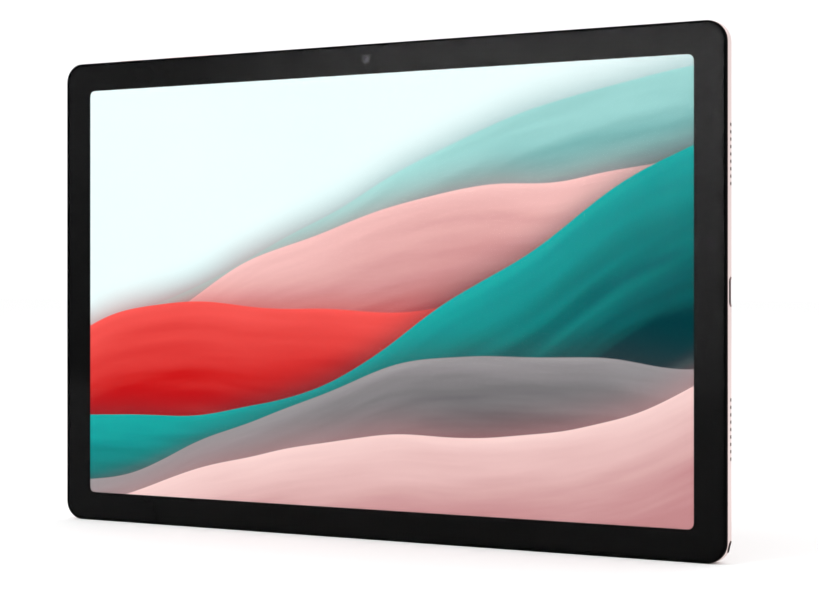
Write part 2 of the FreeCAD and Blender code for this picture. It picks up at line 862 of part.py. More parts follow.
def battery_cells():
    """Two pouch cells side by side, each with the thin sealed edge that its tabs leave by."""
    solids = []
    reach = battery_cell_gap / 2 + battery_cell_width
    for x0 in (-reach, battery_cell_gap / 2):
        x1 = x0 + battery_cell_width
        pouch = slab(x0, x1, battery_bottom, battery_top, battery_front_d, battery_back_d, 2.0)
        pouch = rounded_at(rounded_at(pouch, battery_back_d, battery_edge_radius),
                           battery_front_d, battery_edge_radius)
        middle_d = (battery_front_d + battery_back_d) / 2
        seal = slab(x0 + 2, x1 - 2, battery_top - 1, battery_top + battery_terrace - 1.0,
                    middle_d, middle_d + 0.3)
        solids.append(joined([pouch, seal]))
    return group(solids)


def battery_board():
    """The protection board along the cells' top edge, with its cable to the main board."""
    z0 = battery_top + 0.4
    z1 = battery_top + battery_terrace - 0.8
    d0 = battery_front_d + 0.1
    board = slab(-45.0, 45.0, z0, z1, d0, d0 + 0.6)
    chips = [block(x, (z0 + z1) / 2, 3.0, 1.8, d0 + 0.6, d0 + 0.8) for x in (-30, -12, 12)]
    x = board_step_x + 30
    path = [(z0 + 0.5, d0 + 0.66), (z1 + 0.6, d0 + 0.66), (board_z0 - 0.8, flex_d),
            (board_z0 + 4.0, flex_d)]
    return joined([board, ribbon(path, flex_thick, x - 4, x + 4)] + chips)


def battery_tape():
    """Four stretch-release strips that hold the cells to the plate."""
    solids = []
    for x in (-battery_cell_width * 0.75, -battery_cell_width * 0.3,
              battery_cell_width * 0.3, battery_cell_width * 0.75):
        solids.append(slab(x - 6, x + 6, battery_bottom + 4, battery_top - 4,
                           plate_back_d, battery_front_d))
    return group(solids)


# ---------------------------------------------------------------- sound

def mirrored(solid, side):
    return solid if side > 0 else solid.mirror(vec(0, 0, 0), vec(1, 0, 0))


def speaker_sites():
    """(side, z) of the four speakers; side is 1 on the right and -1 on the left."""
    return [(side, z) for side in (-1, 1) for z in (speaker_zs["lower"], speaker_zs["upper"])]


speaker_x = (speaker_outer_x + speaker_inner_x) / 2
magnet_front_d = speaker_front_d + speaker_wall
coil_front_d = magnet_front_d + magnet_thick - 0.4
diaphragm_d = magnet_front_d + magnet_thick + 0.3


def speaker_boxes():
    """Sealed plastic boxes; each lets its sound out through a port in its outer wall."""
    solids = []
    for side, z in speaker_sites():
        outer = slab(speaker_inner_x, speaker_outer_x, z - speaker_length / 2,
                     z + speaker_length / 2, speaker_front_d, speaker_back_d, 1.5)
        inner = slab(speaker_inner_x + speaker_wall, speaker_outer_x - speaker_wall,
                     z - speaker_length / 2 + speaker_wall,
                     z + speaker_length / 2 - speaker_wall,
                     speaker_front_d + speaker_wall, speaker_back_d - speaker_wall, 1.0)
        port = along_x(port_d, z, 2 * grille_radius, (grille_holes + 1) * grille_pitch - 2,
                       speaker_outer_x - 1, speaker_outer_x, grille_radius - 0.01)
        solids.append(mirrored(outer.cut([inner, port]), side))
    return group(solids)


def speaker_magnets():
    return group([mirrored(block(speaker_x, z, magnet_width, magnet_length, magnet_front_d,
                                 magnet_front_d + magnet_thick, 1.5), side)
                  for side, z in speaker_sites()])


def speaker_diaphragm(side, z):
    """The moving part of one speaker: a thin racetrack plate with its voice coil below."""
    plate = block(speaker_x, z, diaphragm_width, diaphragm_length, diaphragm_d,
                  diaphragm_d + diaphragm_thick, 4.0)
    grow = 2 * (coil_gap + coil_wall)
    coil = block(speaker_x, z, magnet_width + grow, magnet_length + grow, coil_front_d,
                 diaphragm_d, 1.8)
    hole = block(speaker_x, z, magnet_width + 2 * coil_gap, magnet_length + 2 * coil_gap,
                 coil_front_d, diaphragm_d, 1.6)
    return mirrored(joined([plate, coil.cut(hole)]), side)


def speaker_screens():
    """Fine dust screens between the grille holes and the speaker ports."""
    gap_x = half_width - side_wall - 0.06
    return group([mirrored(along_x(port_d, z, 2.2, grille_holes * grille_pitch + 0.6,
                                   gap_x - screen_sheet, gap_x, 0.6), side)
                  for side, z in speaker_sites()])


def audio_jack_body():
    """The moulded barrel of the headphone socket, with slots for its contact springs."""
    flat = 2 * jack_outer
    start = jack_back_x - 1.0
    # the nose is set back where the cover's round corner comes in below the bore
    barrel = along_x(jack_d, jack_z, flat, flat, start, jack_mouth_x, jack_outer * 0.6)
    cuts = [rod_x(jack_d, jack_z, jack_radius, jack_back_x, jack_mouth_x)]
    cuts += [slab(x - 0.7, x + 0.7, jack_z + jack_radius - 0.5, jack_z + jack_outer,
                  jack_d - 0.6, jack_d + 0.6) for x in jack_contact_places()]
    return barrel.cut(cuts)


def jack_contact_places():
    pitch = 2.6
    return [jack_back_x + 2.2 + k * pitch for k in range(jack_contact_count)]


def audio_jack_contacts():
    """Gold-plated leaf contacts that sit just clear of the bore until a plug comes in."""
    return group([slab(x - 0.5, x + 0.5, jack_z + jack_radius + 0.03, jack_z + jack_outer + 0.2,
                       jack_d - 0.4, jack_d + 0.4) for x in jack_contact_places()])


def microphone():
    return along_z(mic_x, board_back_d + 0.55, mic_side, 1.1, height - 5.0, wall_z - 0.15, 0.2)


# ---------------------------------------------------------------- keys

def key_cap(x, length, flange_top):
    """A key's cap with the flange that keeps it inside the cover."""
    cap = along_z(x, port_d, length, key_thick, flange_top - key_flange_thick / 2,
                  height + key_rise, key_thick / 2 - 0.01)
    top_z = height + key_rise
    top = [e for e in cap.Edges if all(abs(v.Z - top_z) < 1e-6 for v in e.Vertexes)]
    cap = cap.makeFillet(0.3, top)
    flange = along_z(x, port_d, length + 2 * key_flange, key_thick + key_flange,
                     flange_top - key_flange_thick, flange_top, 0.6)
    return [cap, flange]


def power_key():
    flange_top = wall_z - fit_gap
    nub = rod_z(power_x, port_d, nub_radius, dome_z + nub_gap,
                flange_top - key_flange_thick / 2)
    return joined(key_cap(power_x, power_length, flange_top) + [nub])


def volume_key():
    flange_top = wall_z - rocker_room
    nubs = [rod_z(x, port_d, nub_radius, dome_z + nub_gap,
                  flange_top - key_flange_thick / 2)
            for x in (volume_x - dome_spacing / 2, volume_x + dome_spacing / 2)]
    return joined(key_cap(volume_x, volume_length, flange_top) + nubs)


def switch_dome(x):
    """A snap dome, drawn as the low cone that it makes at rest."""
    return Part.makeCone(dome_radius, nub_radius, dome_height,
                         vec(x, y_at(port_d), dome_base_z), vec(0, 0, 1))


def fulcrum(grow):
    """The round-topped ridge that the volume key rocks on; grown, it is the slot it stands in."""
    radius = fulcrum_radius + grow
    half = fulcrum_half + grow
    ridge = along_z(volume_x, port_d, 2 * radius, 2 * half, bracket_z, rocker_axis_z)
    return ridge.fuse(rod_y(volume_x, rocker_axis_z, radius, port_d - half, port_d + half))


def key_bracket():
    """The folded steel holder behind the keys, screwed to the mid plate by its foot."""
    shelf = along_z((bracket_x0 + bracket_x1) / 2, port_d, bracket_x1 - bracket_x0,
                    2 * key_flex_half, bracket_z, key_flex_z)
    front_d = plate_back_d + 0.01
    foot = slab(bracket_x0, bracket_x1, bracket_z - bracket_foot, key_flex_z,
                front_d, plate_back_d + bracket_thick)
    return joined([shelf, foot, fulcrum(0)]).cut(screw_holes(plate_d, board_back_d))


def key_flex():
    """The switch cable along the bracket, with its tail down to the main board."""
    strip = along_z((bracket_x0 + bracket_x1) / 2, port_d, bracket_x1 - bracket_x0 - 0.6,
                    2 * key_flex_half, key_flex_z, dome_base_z)
    rear_d = port_d + key_flex_half
    top = height - board_left_top
    tail = ribbon([(dome_base_z, rear_d + flex_thick / 2), (bracket_z - 1.0, rear_d + flex_thick / 2),
                   (top + 2.0, flex_d), (top - 4.0, flex_d)],
                  flex_thick, volume_x + 4.0, volume_x + 8.0)
    return joined([strip.cut(fulcrum(0.1)), tail])


# ---------------------------------------------------------------- card tray

def card_tray():
    """A face plate flush with the edge and a thin tray with a pocket for a memory card."""
    face = along_z(tray_x, tray_d, tray_face_length, tray_face_thick, wall_z, height,
                   tray_face_thick / 2 - 0.01).common(cover_outside())
    plate = slab(tray_x - tray_width / 2, tray_x + tray_width / 2, height - tray_tail,
                 wall_z + 0.2, tray_front_d, tray_front_d + tray_thick, 0.8)
    pocket_top = wall_z - 2.5
    pocket = slab(tray_x - card_width / 2, tray_x + card_width / 2, pocket_top - card_length,
                  pocket_top, tray_front_d + tray_floor, tray_front_d + tray_thick, 0.5)
    contact_window = slab(tray_x - 4.5, tray_x + 4.5, pocket_top - card_length + 1,
                          pocket_top - card_length + 5, tray_front_d, tray_front_d + tray_floor)
    pin_hole = rod_z(pin_x_place, tray_d, pin_hole_radius, wall_z, height)
    return joined([face, plate]).cut([pocket, contact_window, pin_hole])


def card_socket():
    """The folded steel cage round the tray, with the pin that the ejector lever turns on."""
    x0 = tray_x - pin_hole_offset - 1.2
    x1 = tray_x + tray_width / 2 + 0.7
    z0 = height - socket_end
    z1 = height - socket_start
    back_d = board_back_d + tray_thick + 2 * socket_wall + 0.14
    outer = slab(x0, x1, z0, z1, board_back_d, back_d)
    inner = slab(x0 + socket_wall, x1 - socket_wall, z0 + socket_wall, z1,
                 board_back_d + socket_wall, back_d - socket_wall)
    pin = rod_y(tray_x, lever_z, lever_pin_radius, board_back_d + socket_wall / 2,
                back_d - socket_wall / 2)
    return joined([outer.cut(inner), pin])


def eject_rod():
    """The rod that a pin pushes in beside the tray."""
    tip_z = lever_z + lever_half + rod_gap
    x = pin_x_place
    shaft = rod_z(x, tray_d, rod_radius, tip_z + rod_radius, height - rod_top)
    tip = Part.makeSphere(rod_radius, vec(x, y_at(tray_d), tip_z + rod_radius))
    return joined([shaft, tip])


def eject_lever():
    """The rocker that turns the rod's push inwards into a push outwards on the tray."""
    d0 = tray_d - 0.35
    d1 = tray_d + 0.35
    arm = slab(tray_x - lever_left, tray_x + lever_right, lever_z - lever_half,
               lever_z + lever_half, d0, d1, 0.3)
    hub = rod_y(tray_x, lever_z, lever_hub, d0, d1)
    hole = rod_y(tray_x, lever_z, lever_pin_radius + fit_gap, d0, d1)
    return joined([arm, hub]).cut(hole)


# ---------------------------------------------------------------- antennas and fasteners

def antennas():
    """Two plastic carriers that hold the wireless antennas in opposite corners."""
    d0 = plate_back_d + fit_gap
    inset = side_wall + 1.2
    pads = []
    for x0, z0 in ((-half_width + inset, inset), (half_width - inset - antenna_pad,
                                                  height - inset - antenna_pad)):
        pad = slab(x0, x0 + antenna_pad, z0, z0 + antenna_pad, d0, d0 + antenna_thick, 4.0)
        rib = slab(x0 + 3, x0 + antenna_pad - 3, z0 + 3, z0 + antenna_pad - 3,
                   d0 + antenna_thick, d0 + antenna_thick + 0.6, 2.0)
        pads.append(joined([pad, rib]))
    return group(pads)


def antenna_cable():
    """The thin coaxial cable from the lower left antenna to the main board."""
    d = board_back_d + cable_radius + 0.05
    x = -half_width + side_wall + 1.2 + antenna_pad
    column = speaker_inner_x * -1 + 7.0
    top = board_z0 + 2.0
    return tube([(x + 0.25, side_wall + 8.0, d), (column - 1.0, side_wall + 11.0, d),
                 (column, side_wall + 26.0, d), (column + 1.5, (top + 27) / 2, d),
                 (column - 0.5, top - 14.0, d), (column + 2.0, top - 4.5, d),
                 (board_x0 + 0.9, top + 5.5, d)], cable_radius)


def board_screws():
    solids = []
    for x, z, face_d in screw_places():
        head = rod_y(x, z, screw_head_radius, face_d, face_d + screw_head_height)
        shank = rod_y(x, z, screw_radius, plate_d + 0.1, face_d)
        slot = block(x, z, 1.4, 0.3, face_d + screw_head_height - 0.25,
                     face_d + screw_head_height)
        cross = block(x, z, 0.3, 1.4, face_d + screw_head_height - 0.25,
                      face_d + screw_head_height)
        solids.append(joined([head, shank]).cut([slot, cross]))
    return group(solids)


# ---------------------------------------------------------------- every node

NODES = {
    "cover_glass": cover_glass,
    "bezel_print": bezel_print,
    "sensor_windows": sensor_windows,
    "display_tape": display_tape,
    "lcd_cell": lcd_cell,
    "display_driver": display_driver,
    "display_flex": display_flex,
    "diffuser_films": diffuser_films,
    "light_guide": light_guide,
    "reflector_sheet": reflector_sheet,
    "backlight_leds": backlight_leds,
    "backlight_pan": backlight_pan,
    "mid_frame": mid_frame,
    "mid_plate": mid_plate,
    "rear_cover": rear_cover,
    "antenna_inlay": antenna_lines,
    "front_camera_body": front_camera_body,
    "front_camera_lens": front_camera_lens,
    "light_sensors": light_sensors,
    "rear_camera_body": rear_camera_body,
    "rear_camera_lens": rear_camera_lens,
    "rear_camera_ring": rear_camera_ring,
    "rear_camera_window": rear_camera_window,
    "main_board": main_board,
    "shield_cans": shield_cans,
    "board_chips": board_chips,
    "board_connectors": board_connectors,
    "usb_board": usb_board,
    "usb_socket": usb_socket,
    "usb_tongue": usb_tongue,
    "link_flex": link_flex,
    "heat_sheet": heat_sheet,
    "battery_cells": battery_cells,
    "battery_board": battery_board,
    "battery_tape": battery_tape,
    "speaker_boxes": speaker_boxes,
    "speaker_magnets": speaker_magnets,
    "speaker_screens": speaker_screens,
    "audio_jack_body": audio_jack_body,
    "audio_jack_contacts": audio_jack_contacts,
    "microphone": microphone,
    "power_key": power_key,
    "volume_key": volume_key,
    "key_bracket": key_bracket,
    "key_flex": key_flex,
    "power_switch": lambda: switch_dome(power_x),
    "volume_up_switch": lambda: switch_dome(volume_x + dome_spacing / 2),
    "volume_down_switch": lambda: switch_dome(volume_x - dome_spacing / 2),
    "card_tray": card_tray,
    "card_socket": card_socket,
    "eject_rod": eject_rod,
    "eject_lever": eject_lever,
    "antennas": antennas,
    "antenna_cable": antenna_cable,
    "board_screws": board_screws,
}
for side_name, side in (("left", -1), ("right", 1)):
    for level, z in speaker_zs.items():
        NODES[f"speaker_diaphragm_{side_name}_{level}"] = (
            lambda side=side, z=z: speaker_diaphragm(side, z))

os.makedirs("parts", exist_ok=True)
for name, make in NODES.items():
    shape = make()
    if not shape.Solids or not shape.isValid() or min(s.Volume for s in shape.Solids) <= 0:
        raise SystemExit(f"{name} is not a set of sound solids")
    whole = shape if len(shape.Solids) > 1 else shape.Solids[0]
    whole.exportStep(f"parts/{name}.step")
print(len(NODES), "nodes")
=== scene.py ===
# %% [markdown]
# # A tablet computer, standing on its long edge
# The solid parts come from the CAD frame, where every screw and spring already has its place.
# This file gives them their finishes, replaces the front glass by a better-shaped one, adds the
# small things that light shows up, and sets the tablet on a pale floor under soft studio lamps.

import json
import math
import bmesh
import bpy
import numpy as np
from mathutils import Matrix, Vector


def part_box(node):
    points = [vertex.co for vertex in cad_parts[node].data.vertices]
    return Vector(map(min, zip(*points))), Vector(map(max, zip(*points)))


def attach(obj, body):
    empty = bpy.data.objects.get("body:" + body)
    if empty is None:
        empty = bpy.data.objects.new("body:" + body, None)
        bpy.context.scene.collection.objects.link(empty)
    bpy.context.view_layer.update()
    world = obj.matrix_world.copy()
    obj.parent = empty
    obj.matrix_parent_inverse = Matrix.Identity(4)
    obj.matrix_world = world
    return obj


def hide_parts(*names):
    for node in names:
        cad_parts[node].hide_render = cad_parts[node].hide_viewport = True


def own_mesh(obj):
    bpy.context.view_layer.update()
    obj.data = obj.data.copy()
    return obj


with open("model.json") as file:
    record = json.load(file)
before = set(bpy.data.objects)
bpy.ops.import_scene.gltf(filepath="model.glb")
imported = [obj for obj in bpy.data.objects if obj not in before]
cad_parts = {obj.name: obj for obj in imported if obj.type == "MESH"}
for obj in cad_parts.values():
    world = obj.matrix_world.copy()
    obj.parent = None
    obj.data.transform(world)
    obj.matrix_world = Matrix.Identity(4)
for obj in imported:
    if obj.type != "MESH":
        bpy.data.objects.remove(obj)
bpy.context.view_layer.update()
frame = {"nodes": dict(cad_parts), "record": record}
MM = 0.001

# %% [markdown]
# Every place is read from the CAD boxes, so that a piece made here sits where the solids say.
# The glass's face is at the lowest Y, the picture's middle is half way up, and the right edge,
# with its sockets, is at the highest X.

# %% Places from the CAD boxes
glass_low, glass_high = (np.array(p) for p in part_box("cover_glass"))
print_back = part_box("bezel_print")[1][1]
cover_low, cover_high = (np.array(p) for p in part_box("rear_cover"))
middle_z = (cover_low[2] + cover_high[2]) / 2
print("glass", (glass_high - glass_low) / MM, "mm; middle height", middle_z)


# %% [markdown]
# ## Shader arithmetic
# Procedural finishes are sums and products of patterns. In Blender each one is a Math node, and
# a tree of forty of them is hard to read as code. A small class lets a shader value be written
# as ordinary arithmetic: every plus or times places one node and wires it up.

# %% A value in a node tree that can be added and multiplied
class Signal:
    """One output socket in a node tree. Arithmetic on it places Math nodes."""

    def __init__(self, tree, socket):
        self.tree, self.socket = tree, socket

    def math(self, operation, *others):
        node = self.tree.nodes.new("ShaderNodeMath")
        node.operation = operation
        for slot, value in zip(node.inputs, (self, *others)):
            plug(self.tree, value, slot)
        return Signal(self.tree, node.outputs[0])

    def __add__(self, other):
        return self.math("ADD", other)

    def __sub__(self, other):
        return self.math("SUBTRACT", other)

    def __mul__(self, other):
        return self.math("MULTIPLY", other)

    def __truediv__(self, other):
        return self.math("DIVIDE", other)

    def clamped(self):
        """Held between 0 and 1."""
        return self.math("MAXIMUM", 0.0).math("MINIMUM", 1.0)


def plug(tree, value, socket):
    """Wires a Signal or a socket into a socket, or sets a plain value on it."""
    if isinstance(value, Signal):
        tree.links.new(value.socket, socket)
    elif isinstance(value, bpy.types.NodeSocket):
        tree.links.new(value, socket)
    else:
        socket.default_value = value


# %% [markdown]
# A shader group is the shader's version of a function. It has named inputs and outputs, is built
# once, and is placed in each material with its own numbers. The helpers below make an empty
# group, place one, and place the two patterns that everything here is made of: noise, and a
# point squeezed or stretched before the noise reads it.

# %% Groups and patterns
KINDS = {"value": "NodeSocketFloat", "vector": "NodeSocketVector", "colour": "NodeSocketColor"}


def new_group(name, inputs, outputs):
    """An empty shader group. inputs and outputs map socket names to a kind in KINDS."""
    tree = bpy.data.node_groups.new(name, "ShaderNodeTree")
    for direction, sockets in (("INPUT", inputs), ("OUTPUT", outputs)):
        for label, kind in sockets.items():
            tree.interface.new_socket(label, in_out=direction, socket_type=KINDS[kind])
    source = tree.nodes.new("NodeGroupInput")
    sink = tree.nodes.new("NodeGroupOutput")
    given = {label: Signal(tree, source.outputs[label]) for label in inputs}
    return tree, given, sink.inputs


def place_group(tree, group, **values):
    """One use of a group; an input named Colour_Spread is written colour_spread."""
    node = tree.nodes.new("ShaderNodeGroup")
    node.node_tree = group
    for label, value in values.items():
        plug(tree, value, node.inputs[label.replace("_", " ").title()])
    return {out.name: Signal(tree, out) for out in node.outputs}


def noise(tree, point, scale, detail=2.0, roughness=0.5):
    """Smooth noise from 0 to 1, with features 1 / scale long."""
    node = tree.nodes.new("ShaderNodeTexNoise")
    plug(tree, point, node.inputs["Vector"])
    for label, value in (("Scale", scale), ("Detail", detail), ("Roughness", roughness)):
        plug(tree, value, node.inputs[label])
    return Signal(tree, node.outputs[0])


def point_of(tree, x, y, z=0.0):
    """A vector made of three values."""
    node = tree.nodes.new("ShaderNodeCombineXYZ")
    for value, socket in zip((x, y, z), node.inputs):
        plug(tree, value, socket)
    return Signal(tree, node.outputs[0])


def axes_of(tree, vector):
    """The three values in a vector."""
    node = tree.nodes.new("ShaderNodeSeparateXYZ")
    plug(tree, vector, node.inputs[0])
    return [Signal(tree, out) for out in node.outputs]


def blend_colours(tree, share, first, second):
    """The first colour where share is 0, the second where it is 1."""
    node = tree.nodes.new("ShaderNodeMix")
    node.data_type = "RGBA"
    for index, value in ((0, share), (6, first), (7, second)):
        plug(tree, value, node.inputs[index])
    return Signal(tree, node.outputs[2])


def seen(*srgb):
    """A colour as a designer writes it, 0 to 255, turned into the light it stands for."""
    share = np.array(srgb) / 255.0
    light = np.where(share <= 0.04045, share / 12.92, ((share + 0.055) / 1.055) ** 2.4)
    return (*light.tolist(), 1.0)


print("helpers ready")

# %% [markdown]
# ## Grain: blasted metal and moulded plastic
# Anodised aluminium is blasted with fine beads before it is dyed, which leaves dimples about a
# tenth of a millimetre across. Moulded plastic takes a similar, softer texture from its mould.
# One group serves both: fine noise for the dimples, and slow noise for the faint unevenness of
# dye or handling. It returns a colour, a roughness and a height.

# %% The grain group
grain_group, given, sink = new_group(
    "surface_grain",
    {"Point": "vector", "Colour": "colour", "Tint": "colour", "Scale": "value", "Spread": "value",
     "Roughness": "value", "Unevenness": "value"},
    {"Colour": "colour", "Roughness": "value", "Height": "value"})
GRAIN_DRIFT_SCALE = 45.0
fine = noise(grain_group, given["Point"], given["Scale"], 2.0, 0.6)
slow = noise(grain_group, given["Point"], GRAIN_DRIFT_SCALE, 3.0, 0.5)
tone = ((fine - 0.5) * 0.6 + (slow - 0.5)) * given["Spread"] + given["Spread"] * 0.5
mixed = blend_colours(grain_group, tone.clamped(), given["Colour"], given["Tint"])
plug(grain_group, mixed, sink["Colour"])
rough = given["Roughness"] + ((slow - 0.5) + (fine - 0.5) * 0.5) * given["Unevenness"]
plug(grain_group, rough.clamped(), sink["Roughness"])
plug(grain_group, fine, sink["Height"])
print("grain group:", len(grain_group.nodes), "nodes")

# %% [markdown]
# ## Brushing: rolled and drawn steel
# Sheet steel and machined plates carry long scratches in the rolling direction. The same noise
# does it when its point is squeezed along one axis, so that a feature becomes a line.

# %% The brushed group
brushed_group, given, sink = new_group(
    "brushed_lines",
    {"Point": "vector", "Colour": "colour", "Tint": "colour", "Scale": "value", "Spread": "value",
     "Roughness": "value", "Unevenness": "value"},
    {"Colour": "colour", "Roughness": "value", "Height": "value"})
ROLLING_SQUEEZE = 0.02
BRUSHED_DRIFT_SCALE = 60.0
px, py, pz = axes_of(brushed_group, given["Point"])
rolled = point_of(brushed_group, px * ROLLING_SQUEEZE, py, pz)
lines = noise(brushed_group, rolled, given["Scale"], 3.0, 0.6)
slow = noise(brushed_group, given["Point"], BRUSHED_DRIFT_SCALE, 2.0, 0.5)
tone = ((lines - 0.5) * 1.4 + (slow - 0.5) * 0.6 + 0.5) * given["Spread"]
plug(brushed_group, blend_colours(brushed_group, tone.clamped(), given["Colour"], given["Tint"]),
     sink["Colour"])
rough = given["Roughness"] + (lines - 0.5) * given["Unevenness"]
plug(brushed_group, rough.clamped(), sink["Roughness"])
plug(brushed_group, lines, sink["Height"])
print("brushed group:", len(brushed_group.nodes), "nodes")

# %% [markdown]
# ## Weave: dust screens
# The screens behind the sound holes are woven from thread about a twentieth of a millimetre
# thick. Two crossed sine waves, of which the higher is taken at each point, give a grid of
# threads.

# %% The weave group
weave_group, given, sink = new_group(
    "fine_weave",
    {"Point": "vector", "Colour": "colour", "Tint": "colour", "Scale": "value", "Spread": "value",
     "Roughness": "value", "Unevenness": "value"},
    {"Colour": "colour", "Roughness": "value", "Height": "value"})
px, py, pz = axes_of(weave_group, given["Point"])
across = ((py + px) * given["Scale"] * math.tau).math("SINE")
along = (pz * given["Scale"] * math.tau).math("SINE")
thread = across.math("MAXIMUM", along) * 0.5 + 0.5
plug(weave_group, blend_colours(weave_group, (thread * given["Spread"]).clamped(),
                                given["Colour"], given["Tint"]), sink["Colour"])
rough = given["Roughness"] + (thread - 0.5) * given["Unevenness"]
plug(weave_group, rough.clamped(), sink["Roughness"])
plug(weave_group, thread, sink["Height"])
print("weave group:", len(weave_group.nodes), "nodes")


# %% [markdown]
# ## A finish
# A finish is one material: a Principled shader fed by one of the three groups. What is the same
# all over the surface, such as how metallic it is, is set on the shader itself, because the
# export reads it there. The relief is a real depth in metres, a few thousandths of a millimetre.

# %% The finish function
FINISHES = {}
BUMP_STRENGTH = 0.6


def finish(name, colour, tint, roughness, group=grain_group, scale=6000.0, spread=0.5,
           unevenness=0.08, relief=3e-6, **sockets):
    """A material whose colour, roughness and relief come from a pattern group."""
    material = bpy.data.materials.new(name)
    material.use_nodes = True
    tree = material.node_tree
    shader = tree.nodes["Principled BSDF"]
    point = tree.nodes.new("ShaderNodeTexCoord").outputs["Object"]
    made = place_group(tree, group, point=point, colour=colour, tint=tint, scale=scale,
                       spread=spread, roughness=roughness, unevenness=unevenness)
    plug(tree, made["Colour"], shader.inputs["Base Color"])
    plug(tree, made["Roughness"], shader.inputs["Roughness"])
    bump = tree.nodes.new("ShaderNodeBump")
    bump.inputs["Distance"].default_value = relief
    bump.inputs["Strength"].default_value = BUMP_STRENGTH
    plug(tree, made["Height"], bump.inputs["Height"])
    plug(tree, bump.outputs[0], shader.inputs["Normal"])
    for label, value in sockets.items():
        shader.inputs[label.replace("_", " ")].default_value = value
    FINISHES[name] = material
    return material


# %% [markdown]
# ## The pink shell
# The back and sides are one aluminium pressing, blasted and dyed a very pale pink. The dye sits
# in a clear oxide layer, which is what gives the soft white sheen on top of the colour: a coat
# over a metal. The keys and the card tray come out of the same bath.

# %% Anodised aluminium
PINK, PINK_DEEP = (0.77, 0.615, 0.595, 1.0), (0.70, 0.545, 0.53, 1.0)
finish("pink_aluminium", PINK, PINK_DEEP, 0.30, scale=7000.0, spread=0.35, unevenness=0.06,
       relief=2.5e-6, Metallic=1.0, Coat_Weight=0.2, Coat_Roughness=0.3, Coat_IOR=1.4)
finish("camera_ring", (0.80, 0.64, 0.61, 1.0), (0.72, 0.56, 0.54, 1.0), 0.16,
       group=brushed_group, scale=9000.0, spread=0.3, relief=1e-6, Metallic=1.0)
finish("pink_inlay", (0.72, 0.565, 0.55, 1.0), (0.66, 0.52, 0.50, 1.0), 0.42, scale=5000.0,
       spread=0.3, Coat_Weight=0.2, Coat_Roughness=0.4)
print("shell finishes made")

# %% [markdown]
# ## Black frame, black print
# The rim that holds the glass is glass-filled plastic in a deep, barely shining black. The wide
# border is ink, screen-printed on the back of the glass. The screen under the glass is bonded
# and coated against reflection, but the ink is not: what the border mirrors comes from the back
# of the glass, where the ink lies. So the ink is smooth and gives back a few parts in a thousand.

# %% Blacks
finish("black_frame", (0.0012, 0.0012, 0.0013, 1.0), (0.0028, 0.0028, 0.0030, 1.0), 0.42,
       scale=9000.0, spread=0.5, relief=1.5e-6, Specular_IOR_Level=0.004)
finish("black_print", (0.0012, 0.0012, 0.0013, 1.0), (0.0020, 0.0020, 0.0021, 1.0), 0.04,
       scale=40.0, spread=0.6, unevenness=0.03, relief=0.0, Specular_IOR_Level=0.045)
finish("sensor_window", (0.0030, 0.0022, 0.0036, 1.0), (0.006, 0.004, 0.008, 1.0), 0.5,
       scale=9000.0, relief=0.5e-6, Specular_IOR_Level=0.05)
finish("camera_black", (0.006, 0.006, 0.0065, 1.0), (0.013, 0.013, 0.014, 1.0), 0.55,
       scale=8000.0, Specular_IOR_Level=0.3)
finish("lens_rim", (0.020, 0.021, 0.022, 1.0), (0.034, 0.035, 0.037, 1.0), 0.3,
       group=brushed_group, scale=8000.0, relief=1e-6, Specular_IOR_Level=0.5)
finish("dark_polymer", (0.012, 0.011, 0.012, 1.0), (0.028, 0.027, 0.028, 1.0), 0.5, scale=5000.0)
finish("speaker_plastic", (0.02, 0.02, 0.021, 1.0), (0.035, 0.035, 0.036, 1.0), 0.55,
       scale=5000.0)
finish("connector_plastic", (0.02, 0.02, 0.02, 1.0), (0.045, 0.045, 0.045, 1.0), 0.5)
finish("chip_epoxy", (0.011, 0.011, 0.012, 1.0), (0.026, 0.026, 0.028, 1.0), 0.42, scale=9000.0)
finish("sensor_package", (0.03, 0.03, 0.033, 1.0), (0.06, 0.055, 0.06, 1.0), 0.3)
finish("tape", (0.02, 0.02, 0.02, 1.0), (0.05, 0.05, 0.05, 1.0), 0.9, scale=4000.0, relief=8e-6)
finish("cable_jacket", (0.02, 0.02, 0.023, 1.0), (0.04, 0.04, 0.045, 1.0), 0.45, scale=3000.0)
print("blacks made")

# %% [markdown]
# ## Metals inside and in the sockets
# The socket's shell is drawn stainless steel, the shield cans are tinned, the mid plate is
# blasted aluminium, the contacts are gold over nickel. All but the blasted plate are brushed.

# %% Metals
finish("steel", (0.40, 0.33, 0.345, 1.0), (0.30, 0.24, 0.25, 1.0), 0.36, group=brushed_group,
       scale=8000.0, Metallic=1.0)
finish("pan_steel", (0.62, 0.63, 0.64, 1.0), (0.42, 0.42, 0.43, 1.0), 0.3, group=brushed_group,
       scale=5000.0, Metallic=1.0)
finish("can_steel", (0.68, 0.68, 0.66, 1.0), (0.50, 0.50, 0.49, 1.0), 0.34, group=brushed_group,
       scale=4000.0, Metallic=1.0)
finish("dome_steel", (0.70, 0.70, 0.70, 1.0), (0.52, 0.52, 0.53, 1.0), 0.22,
       group=brushed_group, scale=9000.0, Metallic=1.0)
finish("screw_steel", (0.22, 0.22, 0.23, 1.0), (0.12, 0.12, 0.13, 1.0), 0.34, scale=7000.0,
       Metallic=1.0)
finish("plate_aluminium", (0.52, 0.53, 0.55, 1.0), (0.40, 0.41, 0.43, 1.0), 0.45, scale=5000.0,
       Metallic=1.0)
finish("magnet", (0.58, 0.57, 0.55, 1.0), (0.45, 0.44, 0.43, 1.0), 0.25, scale=4000.0,
       Metallic=1.0)
finish("gold_contact", (0.83, 0.60, 0.26, 1.0), (0.70, 0.48, 0.18, 1.0), 0.22,
       group=brushed_group, scale=9000.0, Metallic=1.0)
finish("battery_pouch", (0.20, 0.205, 0.22, 1.0), (0.13, 0.135, 0.145, 1.0), 0.42, scale=900.0,
       relief=2e-5, Metallic=0.8)
